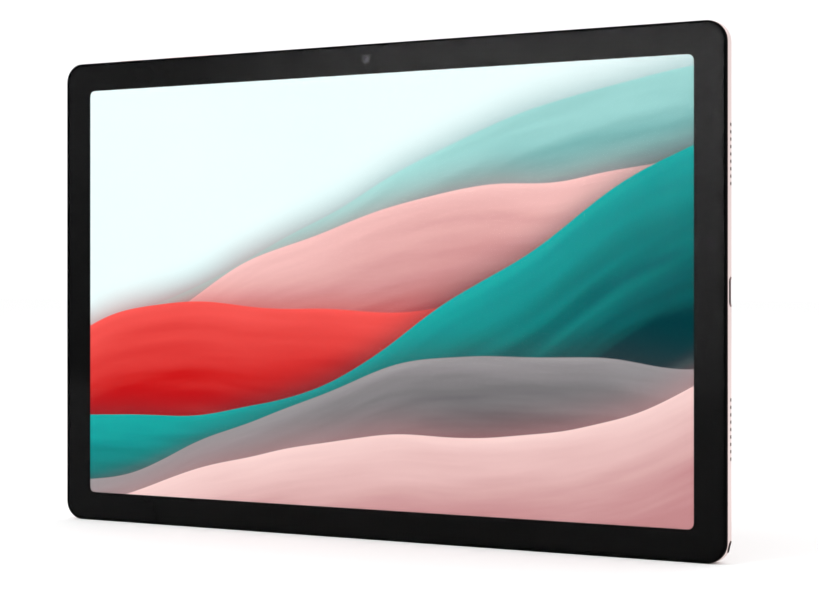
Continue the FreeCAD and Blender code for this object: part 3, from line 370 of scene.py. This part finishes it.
finish("graphite", (0.09, 0.09, 0.095, 1.0), (0.15, 0.15, 0.16, 1.0), 0.5, group=brushed_group,
       scale=3000.0, Metallic=0.5)
print("metals made")

# %% [markdown]
# ## Films, boards and cables
# Inside, the screen's light passes through milky films and a clear guide, and cables are copper
# between sheets of amber polyimide. None of it shows from outside, but a lid that is opened or
# a tray that slides out should still meet finished surfaces.

# %% Plastics and films
finish("circuit_board", (0.012, 0.065, 0.055, 1.0), (0.03, 0.11, 0.09, 1.0), 0.35,
       group=weave_group, scale=900.0, relief=1e-5, Coat_Weight=0.5)
finish("flex_circuit", (0.40, 0.16, 0.03, 1.0), (0.24, 0.10, 0.025, 1.0), 0.32,
       group=brushed_group, scale=1500.0, spread=0.8, relief=6e-6, Coat_Weight=0.4)
finish("optical_film", (0.80, 0.81, 0.81, 1.0), (0.74, 0.75, 0.76, 1.0), 0.4, scale=9000.0)
finish("light_guide", (0.82, 0.86, 0.86, 1.0), (0.92, 0.94, 0.94, 1.0), 0.15,
       group=weave_group, scale=1600.0, relief=4e-6)
finish("reflector", (0.86, 0.88, 0.90, 1.0), (0.78, 0.80, 0.82, 1.0), 0.2, scale=3000.0)
finish("led", (0.85, 0.78, 0.32, 1.0), (0.9, 0.88, 0.75, 1.0), 0.4, scale=3000.0)
finish("pull_tape", (0.78, 0.78, 0.76, 1.0), (0.68, 0.68, 0.66, 1.0), 0.6, scale=2000.0)
finish("diaphragm", (0.05, 0.05, 0.052, 1.0), (0.09, 0.09, 0.095, 1.0), 0.4, group=weave_group,
       scale=1500.0, relief=1e-5)
finish("dust_screen", (0.010, 0.007, 0.008, 1.0), (0.075, 0.052, 0.058, 1.0), 0.55,
       group=weave_group, scale=5000.0, spread=0.9, relief=2e-5)
finish("lens_glass", (0.006, 0.005, 0.014, 1.0), (0.018, 0.010, 0.04, 1.0), 0.06, scale=900.0,
       relief=1e-8, Coat_Weight=1.0, Coat_Roughness=0.03)
print(len(FINISHES), "finishes so far")

# %% [markdown]
# ## The picture on the screen
# The screen shows a plain still picture: broad silk waves that roll across a pale ground and rise
# to the right. Each wave is the same shape with other numbers, so it is a group. Its crest is a
# straight slope plus one slow sine, moved a little by noise. Below the crest the silk goes from
# its light colour to its dark one, with faint streaks that follow the crest, and just above the
# crest the wave drops a soft shade of its own dark colour on whatever lies behind it.

# %% The wave group
WAVE_NUMBERS = ("Crest", "Slope", "Swell", "Spacing", "Phase", "Depth")
EDGE_SOFTNESS = 0.25
SHADE_REACH, SHADE_STRENGTH = 13.0, 0.45
WANDER, WANDER_SCALE = 16.0, 0.013
STREAK_ALONG, STREAK_ACROSS, STREAK_CONTRAST = 0.012, 0.11, 0.7
FADE_POWER = 0.7
wave_group, given, sink = new_group(
    "silk_wave",
    {"Point": "vector", "Under": "colour", "Dark": "colour", "Light": "colour",
     **{label: "value" for label in WAVE_NUMBERS}},
    {"Colour": "colour"})
px, py, _ = axes_of(wave_group, given["Point"])
wander_point = point_of(wave_group, px, given["Phase"] * 40.0)
wander = (noise(wave_group, wander_point, WANDER_SCALE, 1.0, 0.4) - 0.5) * WANDER
swell = (px / given["Spacing"] + given["Phase"]).math("SINE") * given["Swell"]
below = given["Crest"] + px * given["Slope"] + swell + wander - py
cover = (below / EDGE_SOFTNESS + 0.5).clamped()
streak_point = point_of(wave_group, px * STREAK_ALONG, below * STREAK_ACROSS,
                        given["Phase"] * 5.0)
streaks = noise(wave_group, streak_point, 1.3, 3.0, 0.5) - 0.5
fade = (below / given["Depth"]).clamped()
tone = (fade.math("POWER", FADE_POWER) + streaks * STREAK_CONTRAST).clamped()
silk = blend_colours(wave_group, tone, given["Light"], given["Dark"])
shade = (below / SHADE_REACH + 1.0).clamped().math("POWER", 2.0) * SHADE_STRENGTH
behind = blend_colours(wave_group, shade, given["Under"], given["Dark"])
plug(wave_group, blend_colours(wave_group, cover, behind, silk), sink["Colour"])
print("wave group:", len(wave_group.nodes), "nodes")

# %% [markdown]
# The waves are listed from back to front. Crest, swell, spacing and depth are millimetres on the
# screen, measured from its middle; the phase is in radians. A screen makes its own light, so the
# painting goes to the shader's emission. A quarter of it goes to the base colour as well,
# because the filters in a panel tint what the room throws on them.

# %% The waves and the lit panel
GLOW, TINT_SHARE = 0.74, 0.24
BLACK = (0.0, 0.0, 0.0, 1.0)
GROUND_SCALE = 0.012
# crest, slope, swell, spacing, phase, depth, dark, light
WAVES = (
    (30, 0.30, 11, 44, 0.4, 46, seen(44, 128, 130), seen(168, 224, 220)),
    (14, 0.36, 13, 52, 2.1, 40, seen(184, 112, 114), seen(252, 200, 196)),
    (2, 0.22, 12, 40, 3.9, 30, seen(196, 12, 16), seen(250, 92, 86)),
    (-10, 0.34, 15, 48, 5.3, 56, seen(0, 54, 60), seen(24, 168, 164)),
    (-36, 0.20, 10, 38, 1.2, 34, seen(56, 56, 60), seen(158, 154, 156)),
    (-50, 0.26, 9, 46, 3.0, 34, seen(196, 138, 140), seen(250, 214, 210)),
)
lcd = bpy.data.materials.new("lcd_cell")
lcd.use_nodes = True
tree = lcd.node_tree
shader = tree.nodes["Principled BSDF"]
ox, _, oz = axes_of(tree, tree.nodes.new("ShaderNodeTexCoord").outputs["Object"])
spot = point_of(tree, ox / MM, (oz - middle_z) / MM)
ground = noise(tree, spot, GROUND_SCALE, 1.0, 0.4)
colour = blend_colours(tree, ground, seen(233, 255, 255), seen(240, 255, 255))
for crest, slope, swell, spacing, phase, depth, dark, light in WAVES:
    colour = place_group(tree, wave_group, point=spot, under=colour, dark=dark, light=light,
                         crest=crest, slope=slope, swell=swell, spacing=spacing, phase=phase,
                         depth=depth)["Colour"]
plug(tree, colour, shader.inputs["Emission Color"])
shader.inputs["Emission Strength"].default_value = GLOW
plug(tree, blend_colours(tree, TINT_SHARE, BLACK, colour), shader.inputs["Base Color"])
shader.inputs["Specular IOR Level"].default_value = 0.0
FINISHES["lcd_cell"] = lcd
print(len(WAVES), "waves on the screen")


# %% [markdown]
# ## Cover glass
# The front is one sheet of hardened glass whose rim is ground and polished round. It carries a
# coating that takes its reflection down to about one part in a thousand, which a lower index
# gives here. It must be a plain clear shader, with its transmission set on the shader.

# %% Clear glass
WIPE_SCALE, WIPE_LEVEL, WIPE_ROUGHNESS = 30.0, 0.55, 0.03
for name, tinted, index in (("cover_glass", (1.0, 1.0, 1.0, 1.0), 1.05),
                            ("camera_window", (0.62, 0.62, 0.66, 1.0), 1.3)):
    clear = bpy.data.materials.new(name)
    clear.use_nodes = True
    tree = clear.node_tree
    shader = tree.nodes["Principled BSDF"]
    point = tree.nodes.new("ShaderNodeTexCoord").outputs["Object"]
    wipe = noise(tree, point, WIPE_SCALE, 3.0, 0.6)
    plug(tree, ((wipe - WIPE_LEVEL) * WIPE_ROUGHNESS).clamped(), shader.inputs["Roughness"])
    shader.inputs["Base Color"].default_value = tinted
    shader.inputs["Transmission Weight"].default_value = 1.0
    shader.inputs["IOR"].default_value = index
    FINISHES[name] = clear
print("glass finishes made")

# %% [markdown]
# ## Give every CAD node its finish
# The record says which material slot each node uses, and the finishes above carry the slots'
# names, so one loop dresses all of them. A slot with no finish would stop the script here.

# %% Dress the CAD nodes
SLOT_OF = {part["node"]: part["material_slot"] for part in frame["record"]["subparts"]}
for node_name, node in frame["nodes"].items():
    node.data.materials.clear()
    node.data.materials.append(FINISHES[SLOT_OF[node_name]])
print(len(SLOT_OF), "nodes dressed in", len(set(SLOT_OF.values())), "finishes")


# %% [markdown]
# ## Making a piece from arrays
# A new piece is a grid of points: rows follow a section, columns follow a path round the piece.
# The faces between them come from the same array of numbers, shifted by one row and column.

# %% From a grid to a piece
def grid_faces(rows, columns, close_rows=False, close_columns=True):
    """Corner numbers of the quads on a rows x columns grid: (r, c), (r, c+1), (r+1, c+1), (r+1, c)."""
    r, c = np.meshgrid(np.arange(rows if close_rows else rows - 1),
                       np.arange(columns if close_columns else columns - 1), indexing="ij")
    r2, c2 = (r + 1) % rows, (c + 1) % columns
    return np.stack([r * columns + c, r * columns + c2, r2 * columns + c2, r2 * columns + c],
                    axis=-1).reshape(-1, 4)


def make_piece(name, points, faces, slot, body="housing", replaces=(), smooth=True, look=None):
    """A mesh object at the origin, riding on its CAD body, in its slot's finish or its own look."""
    mesh = bpy.data.meshes.new(name)
    mesh.from_pydata(points.tolist(), [], [list(face) for face in faces])
    mesh.validate()
    piece = bpy.data.objects.new(name, mesh)
    bpy.context.scene.collection.objects.link(piece)
    mesh.polygons.foreach_set("use_smooth", [smooth] * len(mesh.polygons))
    mesh.materials.append(FINISHES[look or slot])
    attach(piece, body)
    if replaces:
        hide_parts(*replaces)
    print(name, len(points), "points", len(faces), "faces")
    return piece


def point_out(piece):
    """Recalculates the faces' directions so that they all point outwards."""
    work = bmesh.new()
    work.from_mesh(piece.data)
    bmesh.ops.recalc_face_normals(work, faces=work.faces)
    work.to_mesh(piece.data)
    work.free()


# %% [markdown]
# ## The glass's shape
# Its outline is a rectangle with round corners. Each ring of the surface is that outline drawn
# in by some inset at some depth: the ground rim is a quarter circle of rings, the face and the
# back are closed by one flat face each. The back stays a hair in front of the print, because two
# surfaces in exactly the same place flicker.

# %% Rounded rectangles and stacked rings
def rounded_outline(half_x, half_z, radius, inset, steps=12):
    """A round-cornered rectangle, anticlockwise from the lower right corner's start.

    Each corner is a quarter circle of radius (radius - inset) about a centre at
    (half - radius); the straight runs are the gaps between the quarters."""
    corner = np.repeat(np.arange(4), steps + 1)
    turn = np.tile(np.linspace(0, math.pi / 2, steps + 1), 4) + (corner - 1) * math.pi / 2
    sign_x = np.array([1, 1, -1, -1])[corner]
    sign_z = np.array([-1, 1, 1, -1])[corner]
    reach = max(radius - inset, 1e-5)
    return np.stack([sign_x * (half_x - radius) + reach * np.cos(turn),
                     sign_z * (half_z - radius) + reach * np.sin(turn)], axis=-1)


def ring_stack(centre, halves, radius, rings, steps=12):
    """Points and faces of a closed slab: rings is a list of (inset, y), from front to back."""
    loops = [rounded_outline(halves[0], halves[1], radius, inset, steps) for inset, _ in rings]
    columns = len(loops[0])
    points = np.concatenate([
        np.stack([centre[0] + loop[:, 0], np.full(columns, y), centre[1] + loop[:, 1]], axis=-1)
        for loop, (_, y) in zip(loops, rings)])
    faces = [tuple(face) for face in grid_faces(len(rings), columns)]
    faces.append(tuple(range(columns)))
    faces.append(tuple(range(len(points) - columns, len(points)))[::-1])
    return points, faces


GLASS_CORNER = 5.9 * MM
GLASS_RIM = 0.5 * MM
GLASS_BACK_BEVEL = 0.05 * MM
HAIR = 0.02 * MM
half_x, half_z = (glass_high[0] - glass_low[0]) / 2, (glass_high[2] - glass_low[2]) / 2
turns = np.linspace(0, math.pi / 2, 9)
rings = [(GLASS_RIM * (1 - math.sin(a)), glass_low[1] + GLASS_RIM * (1 - math.cos(a)))
         for a in turns]
rings.append((0.0, glass_high[1] - HAIR - GLASS_BACK_BEVEL))
rings.append((GLASS_BACK_BEVEL, glass_high[1] - HAIR))
front_glass = make_piece("front_glass", *ring_stack((0.0, middle_z), (half_x, half_z),
                                                    GLASS_CORNER, rings),
                         "cover_glass", replaces=("cover_glass",))
point_out(front_glass)
for face in front_glass.data.polygons:
    face.use_smooth = len(face.vertices) == 4
front_glass.data.update()


# %% [markdown]
# ## Turned rings round the lenses
# A small camera looks out through a cone of black steps, cut fine like a screw thread, that
# swallow stray light. Such rings are turned on a lathe, so they are a profile of radius and
# depth carried round a circle. The profile is a closed loop, which makes a closed ring.

# %% A profile carried round an axis
def turned_ring(name, centre, profile, slot, columns=96, **more):
    """A closed ring about the Y axis through centre (x, z).

    Row k of profile is (radius, y); its points are x + radius cos a, y, z + radius sin a for
    the angles a of one full turn."""
    angles = np.linspace(0.0, math.tau, columns, endpoint=False)
    radius, depth = np.array(profile)[:, 0:1], np.array(profile)[:, 1:2]
    points = np.stack([centre[0] + radius * np.cos(angles), depth + 0.0 * angles,
                       centre[1] + radius * np.sin(angles)], axis=-1).reshape(-1, 3)
    faces = [tuple(face) for face in grid_faces(len(profile), columns, close_rows=True)]
    piece = make_piece(name, points, faces, slot, **more)
    point_out(piece)
    return piece


def middle_of(low, high):
    """The middle of a CAD box as (x, z)."""
    return ((low[0] + high[0]) / 2, (low[2] + high[2]) / 2)


def stepped_profile(wide, narrow, outer_y, inner_y, steps, thick):
    """A staircase from (wide, outer_y) to (narrow, inner_y), closed by a line set back by thick."""
    radii = np.linspace(wide, narrow, steps + 1)
    depths = np.linspace(outer_y, inner_y, steps + 1)
    stairs = [(wide, outer_y)]
    for r, y in zip(radii[1:], depths[1:]):
        stairs += [(r, stairs[-1][1]), (r, y)]
    behind = thick if inner_y > outer_y else -thick
    return stairs + [(narrow, inner_y + behind), (wide, inner_y + behind)]


SHADE_WIDE, SHADE_NARROW, SHADE_STEPS, SHADE_THICK = 4.35 * MM, 2.15 * MM, 6, 0.04 * MM
WINDOW_GAP, BARREL_GAP = 0.03 * MM, 0.08 * MM
rear_low, rear_high = (np.array(p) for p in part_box("rear_camera_window"))
barrel_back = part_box("rear_camera_body")[1][1]
turned_ring("rear_camera_shade", middle_of(rear_low, rear_high),
            stepped_profile(SHADE_WIDE, SHADE_NARROW, rear_low[1] - WINDOW_GAP,
                            barrel_back + BARREL_GAP, SHADE_STEPS, SHADE_THICK), "camera_black")

EYE_OUTER, EYE_MOUTH, EYE_THROAT = 1.55 * MM, 1.30 * MM, 1.02 * MM
eye_front, eye_step, eye_back = (print_back + depth * MM for depth in (0.03, 0.12, 0.16))
eye_low, eye_high = (np.array(p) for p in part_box("front_camera_lens"))
turned_ring("front_camera_shade", middle_of(eye_low, eye_high),
            [(EYE_OUTER, eye_front), (EYE_MOUTH, eye_front), (EYE_THROAT, eye_step),
             (EYE_THROAT, eye_back), (EYE_OUTER, eye_back)], "camera_black", look="lens_rim")

# %% [markdown]
# ## Contacts on the charging socket's tongue
# The tongue carries twelve gold strips on each face, half a millimetre apart. They are pressed
# through the plastic and stand a hair proud of it, so each is a thin slab with a rounded
# outline, and all twenty-four make one piece.

# %% Gold strips
def join_shapes(shapes):
    """Joins (points, faces) pairs into one, shifting the corner numbers."""
    starts = np.cumsum([0] + [len(points) for points, _ in shapes[:-1]])
    return (np.concatenate([points for points, _ in shapes]),
            [tuple(int(corner) + int(start) for corner in face)
             for (_, faces), start in zip(shapes, starts) for face in faces])


tongue_low, tongue_high = (np.array(p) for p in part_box("usb_tongue"))
TONGUE_THICK = 0.7 * MM
PAD_COUNT, PAD_PITCH, PAD_WIDTH, PAD_LENGTH = 12, 0.5 * MM, 0.27 * MM, 3.0 * MM
PAD_START, PAD_CORNER, PAD_BEVEL = 0.3 * MM, 0.06 * MM, 0.03 * MM
PAD_FACE, PAD_SHOULDER, PAD_FOOT = 0.03 * MM, 0.01 * MM, 0.002 * MM
tongue_y = (tongue_low[1] + tongue_high[1]) / 2
tongue_z = (tongue_low[2] + tongue_high[2]) / 2
pads = []
for side in (-1, 1):
    face_y = tongue_y + side * TONGUE_THICK / 2
    for k in range(PAD_COUNT):
        centre = (tongue_high[0] - PAD_START - PAD_LENGTH / 2,
                  tongue_z + (k - (PAD_COUNT - 1) / 2) * PAD_PITCH)
        pads.append(ring_stack(centre, (PAD_LENGTH / 2, PAD_WIDTH / 2), PAD_CORNER,
                               [(PAD_BEVEL, face_y + side * PAD_FACE),
                                (0.0, face_y + side * PAD_SHOULDER),
                                (0.0, face_y + side * PAD_FOOT)], steps=2))
contacts = make_piece("usb_contacts", *join_shapes(pads), "gold_contact", smooth=False)
point_out(contacts)


# %% [markdown]
# ## Domes under the keys
# Each key clicks on a snap dome: a cap of spring steel on a small square base, which buckles
# when the key comes down. The dome is drawn as rings that start as a rounded square and end as a
# circle.

# %% Snap domes under the keys
BASE_POWER, CAP_POWER = 7.0, 2.0
CAP_FROM, CAP_TO, TOP_SIZE = 0.12, 0.5, 0.02


def snap_dome(node, base_share=0.4, cap_share=0.86, rings=9, columns=48):
    """A domed switch in the CAD node's box.

    Each ring is a superellipse |x / a| ^ n + |y / b| ^ n = 1. On the base n is 7 and the rings
    keep the box's half sizes; on the cap n is 2, and the ring of size k lies on a round cap:
    its height is the base plus the rest of the height times the root of 1 - k squared."""
    low, high = (np.array(p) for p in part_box(node))
    centre, half = (low + high) / 2, (high - low) / 2
    sizes = np.concatenate([[1.0, 1.0, cap_share], cap_share * np.cos(
        np.linspace(CAP_FROM, CAP_TO, rings) * math.pi)[:-1], [TOP_SIZE]])
    powers = np.where(np.arange(len(sizes)) < 2, BASE_POWER, CAP_POWER)
    cap = np.sqrt(np.maximum(0.0, 1.0 - (sizes / cap_share) ** 2))
    heights = base_share + (1.0 - base_share) * np.where(sizes > cap_share, 0.0, cap)
    heights[0] = 0.0
    angles = np.linspace(0.0, math.tau, columns, endpoint=False)
    c, s = np.cos(angles), np.sin(angles)
    n = powers[:, None]
    reach = sizes[:, None] * (np.abs(c) ** n + np.abs(s) ** n) ** (-1.0 / n)
    points = np.stack([centre[0] + half[0] * reach * c, centre[1] + half[1] * reach * s,
                       low[2] + (high[2] - low[2]) * heights[:, None] + 0.0 * reach],
                      axis=-1).reshape(-1, 3)
    faces = [tuple(face) for face in grid_faces(len(sizes), columns)]
    faces += [tuple(range(columns)), tuple(range(len(points) - columns, len(points)))]
    dome = make_piece(node + "_dome", points, faces, "dome_steel", replaces=(node,))
    point_out(dome)
    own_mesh(dome)
    return dome


for switch, joint in (("power_switch", "power_press"), ("volume_up_switch", "volume_rock"),
                      ("volume_down_switch", "volume_rock")):
    snap_dome(switch)


# %% [markdown]
# ## The floor, the lamps and the camera
# A product picture is taken in a white room: a pale floor that runs up to a pale wall, lit so
# evenly that the join can't be seen. Shiny black glass would mirror that room, so the studio
# stands a graded card to the left of the camera, and the glass shows the card instead.

# %% A pale floor
def stage_plane(name, points, material):
    """A flat stage piece from four corners, not part of the tablet."""
    mesh = bpy.data.meshes.new(name)
    mesh.from_pydata([tuple(p) for p in points], [], [(0, 1, 2, 3)])
    plane = bpy.data.objects.new(name, mesh)
    bpy.context.scene.collection.objects.link(plane)
    mesh.materials.append(material)
    return plane


def plain_material(name, colour, roughness, **sockets):
    """A plain stage material."""
    material = bpy.data.materials.new(name)
    material.use_nodes = True
    shader = material.node_tree.nodes["Principled BSDF"]
    shader.inputs["Base Color"].default_value = colour
    shader.inputs["Roughness"].default_value = roughness
    for label, value in sockets.items():
        shader.inputs[label.replace("_", " ")].default_value = value
    return material


FLOOR_REACH = 14.0
WHITE = (1.0, 1.0, 1.0, 1.0)
floor_paint = plain_material("floor_paint", (0.94, 0.94, 0.94, 1.0), 0.9, Specular_IOR_Level=0.0)
stage_plane("floor", [(-FLOOR_REACH, -FLOOR_REACH, 0), (FLOOR_REACH, -FLOOR_REACH, 0),
                      (FLOOR_REACH, FLOOR_REACH, 0), (-FLOOR_REACH, FLOOR_REACH, 0)],
            floor_paint)
print("floor laid")

# %% [markdown]
# The graded card stands in front of the tablet and to its left, where the glass mirrors it for
# the camera. It glows from its top right corner and fades towards the floor and the left. The
# product of two ramps, read from Object coordinates, gives the fade, and a third softens the edge.

# %% A graded card for the black border to mirror
card_material = bpy.data.materials.new("card_glow")
card_material.use_nodes = True
tree = card_material.node_tree
tree.nodes.clear()
card_x, _, card_z = axes_of(tree, tree.nodes.new("ShaderNodeTexCoord").outputs["Object"])
CARD_LEFT, CARD_RIGHT, CARD_TOP, CARD_Y = -0.95, -0.15, 0.45, -0.90
FADE_LEFT, FADE_WIDTH, FADE_HEIGHT, EDGE_FADE = -0.76, 0.34, 0.24, 0.05
ACROSS_GAIN, ACROSS_LEAST, UPWARD_GAIN, UPWARD_LEAST = 3.8, 1.2, 0.95, 0.45
across = ((card_x - FADE_LEFT) / FADE_WIDTH).clamped()
across = across * across * (across * -2.0 + 3.0)
upward = (card_z / FADE_HEIGHT).clamped()
edge = ((card_x * -1.0 + CARD_RIGHT) / EDGE_FADE).clamped()
glow = (across * ACROSS_GAIN + ACROSS_LEAST) * (upward * UPWARD_GAIN + UPWARD_LEAST) * edge
shine = tree.nodes.new("ShaderNodeEmission")
plug(tree, glow, shine.inputs["Strength"])
card_output = tree.nodes.new("ShaderNodeOutputMaterial")
plug(tree, shine.outputs[0], card_output.inputs["Surface"])
stage_plane("card", [(CARD_LEFT, CARD_Y, 0), (CARD_RIGHT, CARD_Y, 0),
                     (CARD_RIGHT, CARD_Y, CARD_TOP), (CARD_LEFT, CARD_Y, CARD_TOP)],
            card_material)
print("card set")

# %% [markdown]
# The room round the floor is an even white. It is a little brighter than one, so that the floor,
# which gives back slightly less than it gets, still comes out white where nothing shades it.

# %% A pale room
ROOM_LIGHT = 1.06
world = bpy.data.worlds.new("studio")
bpy.context.scene.world = world
world.use_nodes = True
world.node_tree.nodes["Background"].inputs[0].default_value = WHITE
world.node_tree.nodes["Background"].inputs[1].default_value = ROOM_LIGHT
bpy.context.scene.view_settings.view_transform = "Standard"
bpy.context.scene.view_settings.look = "None"


# %% [markdown]
# Two large soft lamps stand in front, one high on the left and one high on the right. They
# lighten the floor and lay a soft shadow under the tablet. No lamp stands where the pink side
# would mirror it, because a bare lamp in polished metal burns out to white.

# %% Lamps
def softbox(name, place, target, size, power):
    """A square lamp that faces a target."""
    lamp = bpy.data.lights.new(name, "AREA")
    lamp.shape, lamp.size, lamp.energy = "SQUARE", size, power
    holder = bpy.data.objects.new(name, lamp)
    bpy.context.scene.collection.objects.link(holder)
    holder.location = place
    way = Vector(target) - Vector(place)
    holder.rotation_euler = way.to_track_quat("-Z", "Y").to_euler()
    return holder


softbox("key", (-1.2, -1.4, 2.2), (0, 0, 0.08), 1.2, 14)
softbox("fill", (1.8, -0.6, 1.9), (0, 0, 0.08), 1.4, 8)
print("lamps set")

# %% [markdown]
# The camera stands at the height of the tablet's middle, a little over half a metre away and to
# the right, and is level. Its frame sits slightly low, which a small shift does.

# %% The camera
VIEW_TURN = math.radians(28.833)
SENSOR_WIDTH, LENS_LENGTH, FRAME_SHIFT, NEAREST = 36.0, 84.851, -0.0135, 0.02
TO_THE_RIGHT, IN_FRONT, ABOVE = 316.59 * MM, 544.87 * MM, 0.396 * MM
camera_data = bpy.data.cameras.new("camera")
camera_data.sensor_width = SENSOR_WIDTH
camera_data.lens = LENS_LENGTH
camera_data.shift_y = FRAME_SHIFT
camera_data.clip_start = NEAREST
camera = bpy.data.objects.new("camera", camera_data)
bpy.context.scene.collection.objects.link(camera)
camera.location = (TO_THE_RIGHT, glass_low[1] - IN_FRONT, middle_z + ABOVE)
camera.rotation_euler = (math.pi / 2, 0.0, VIEW_TURN)
bpy.context.scene.camera = camera
print("camera set")
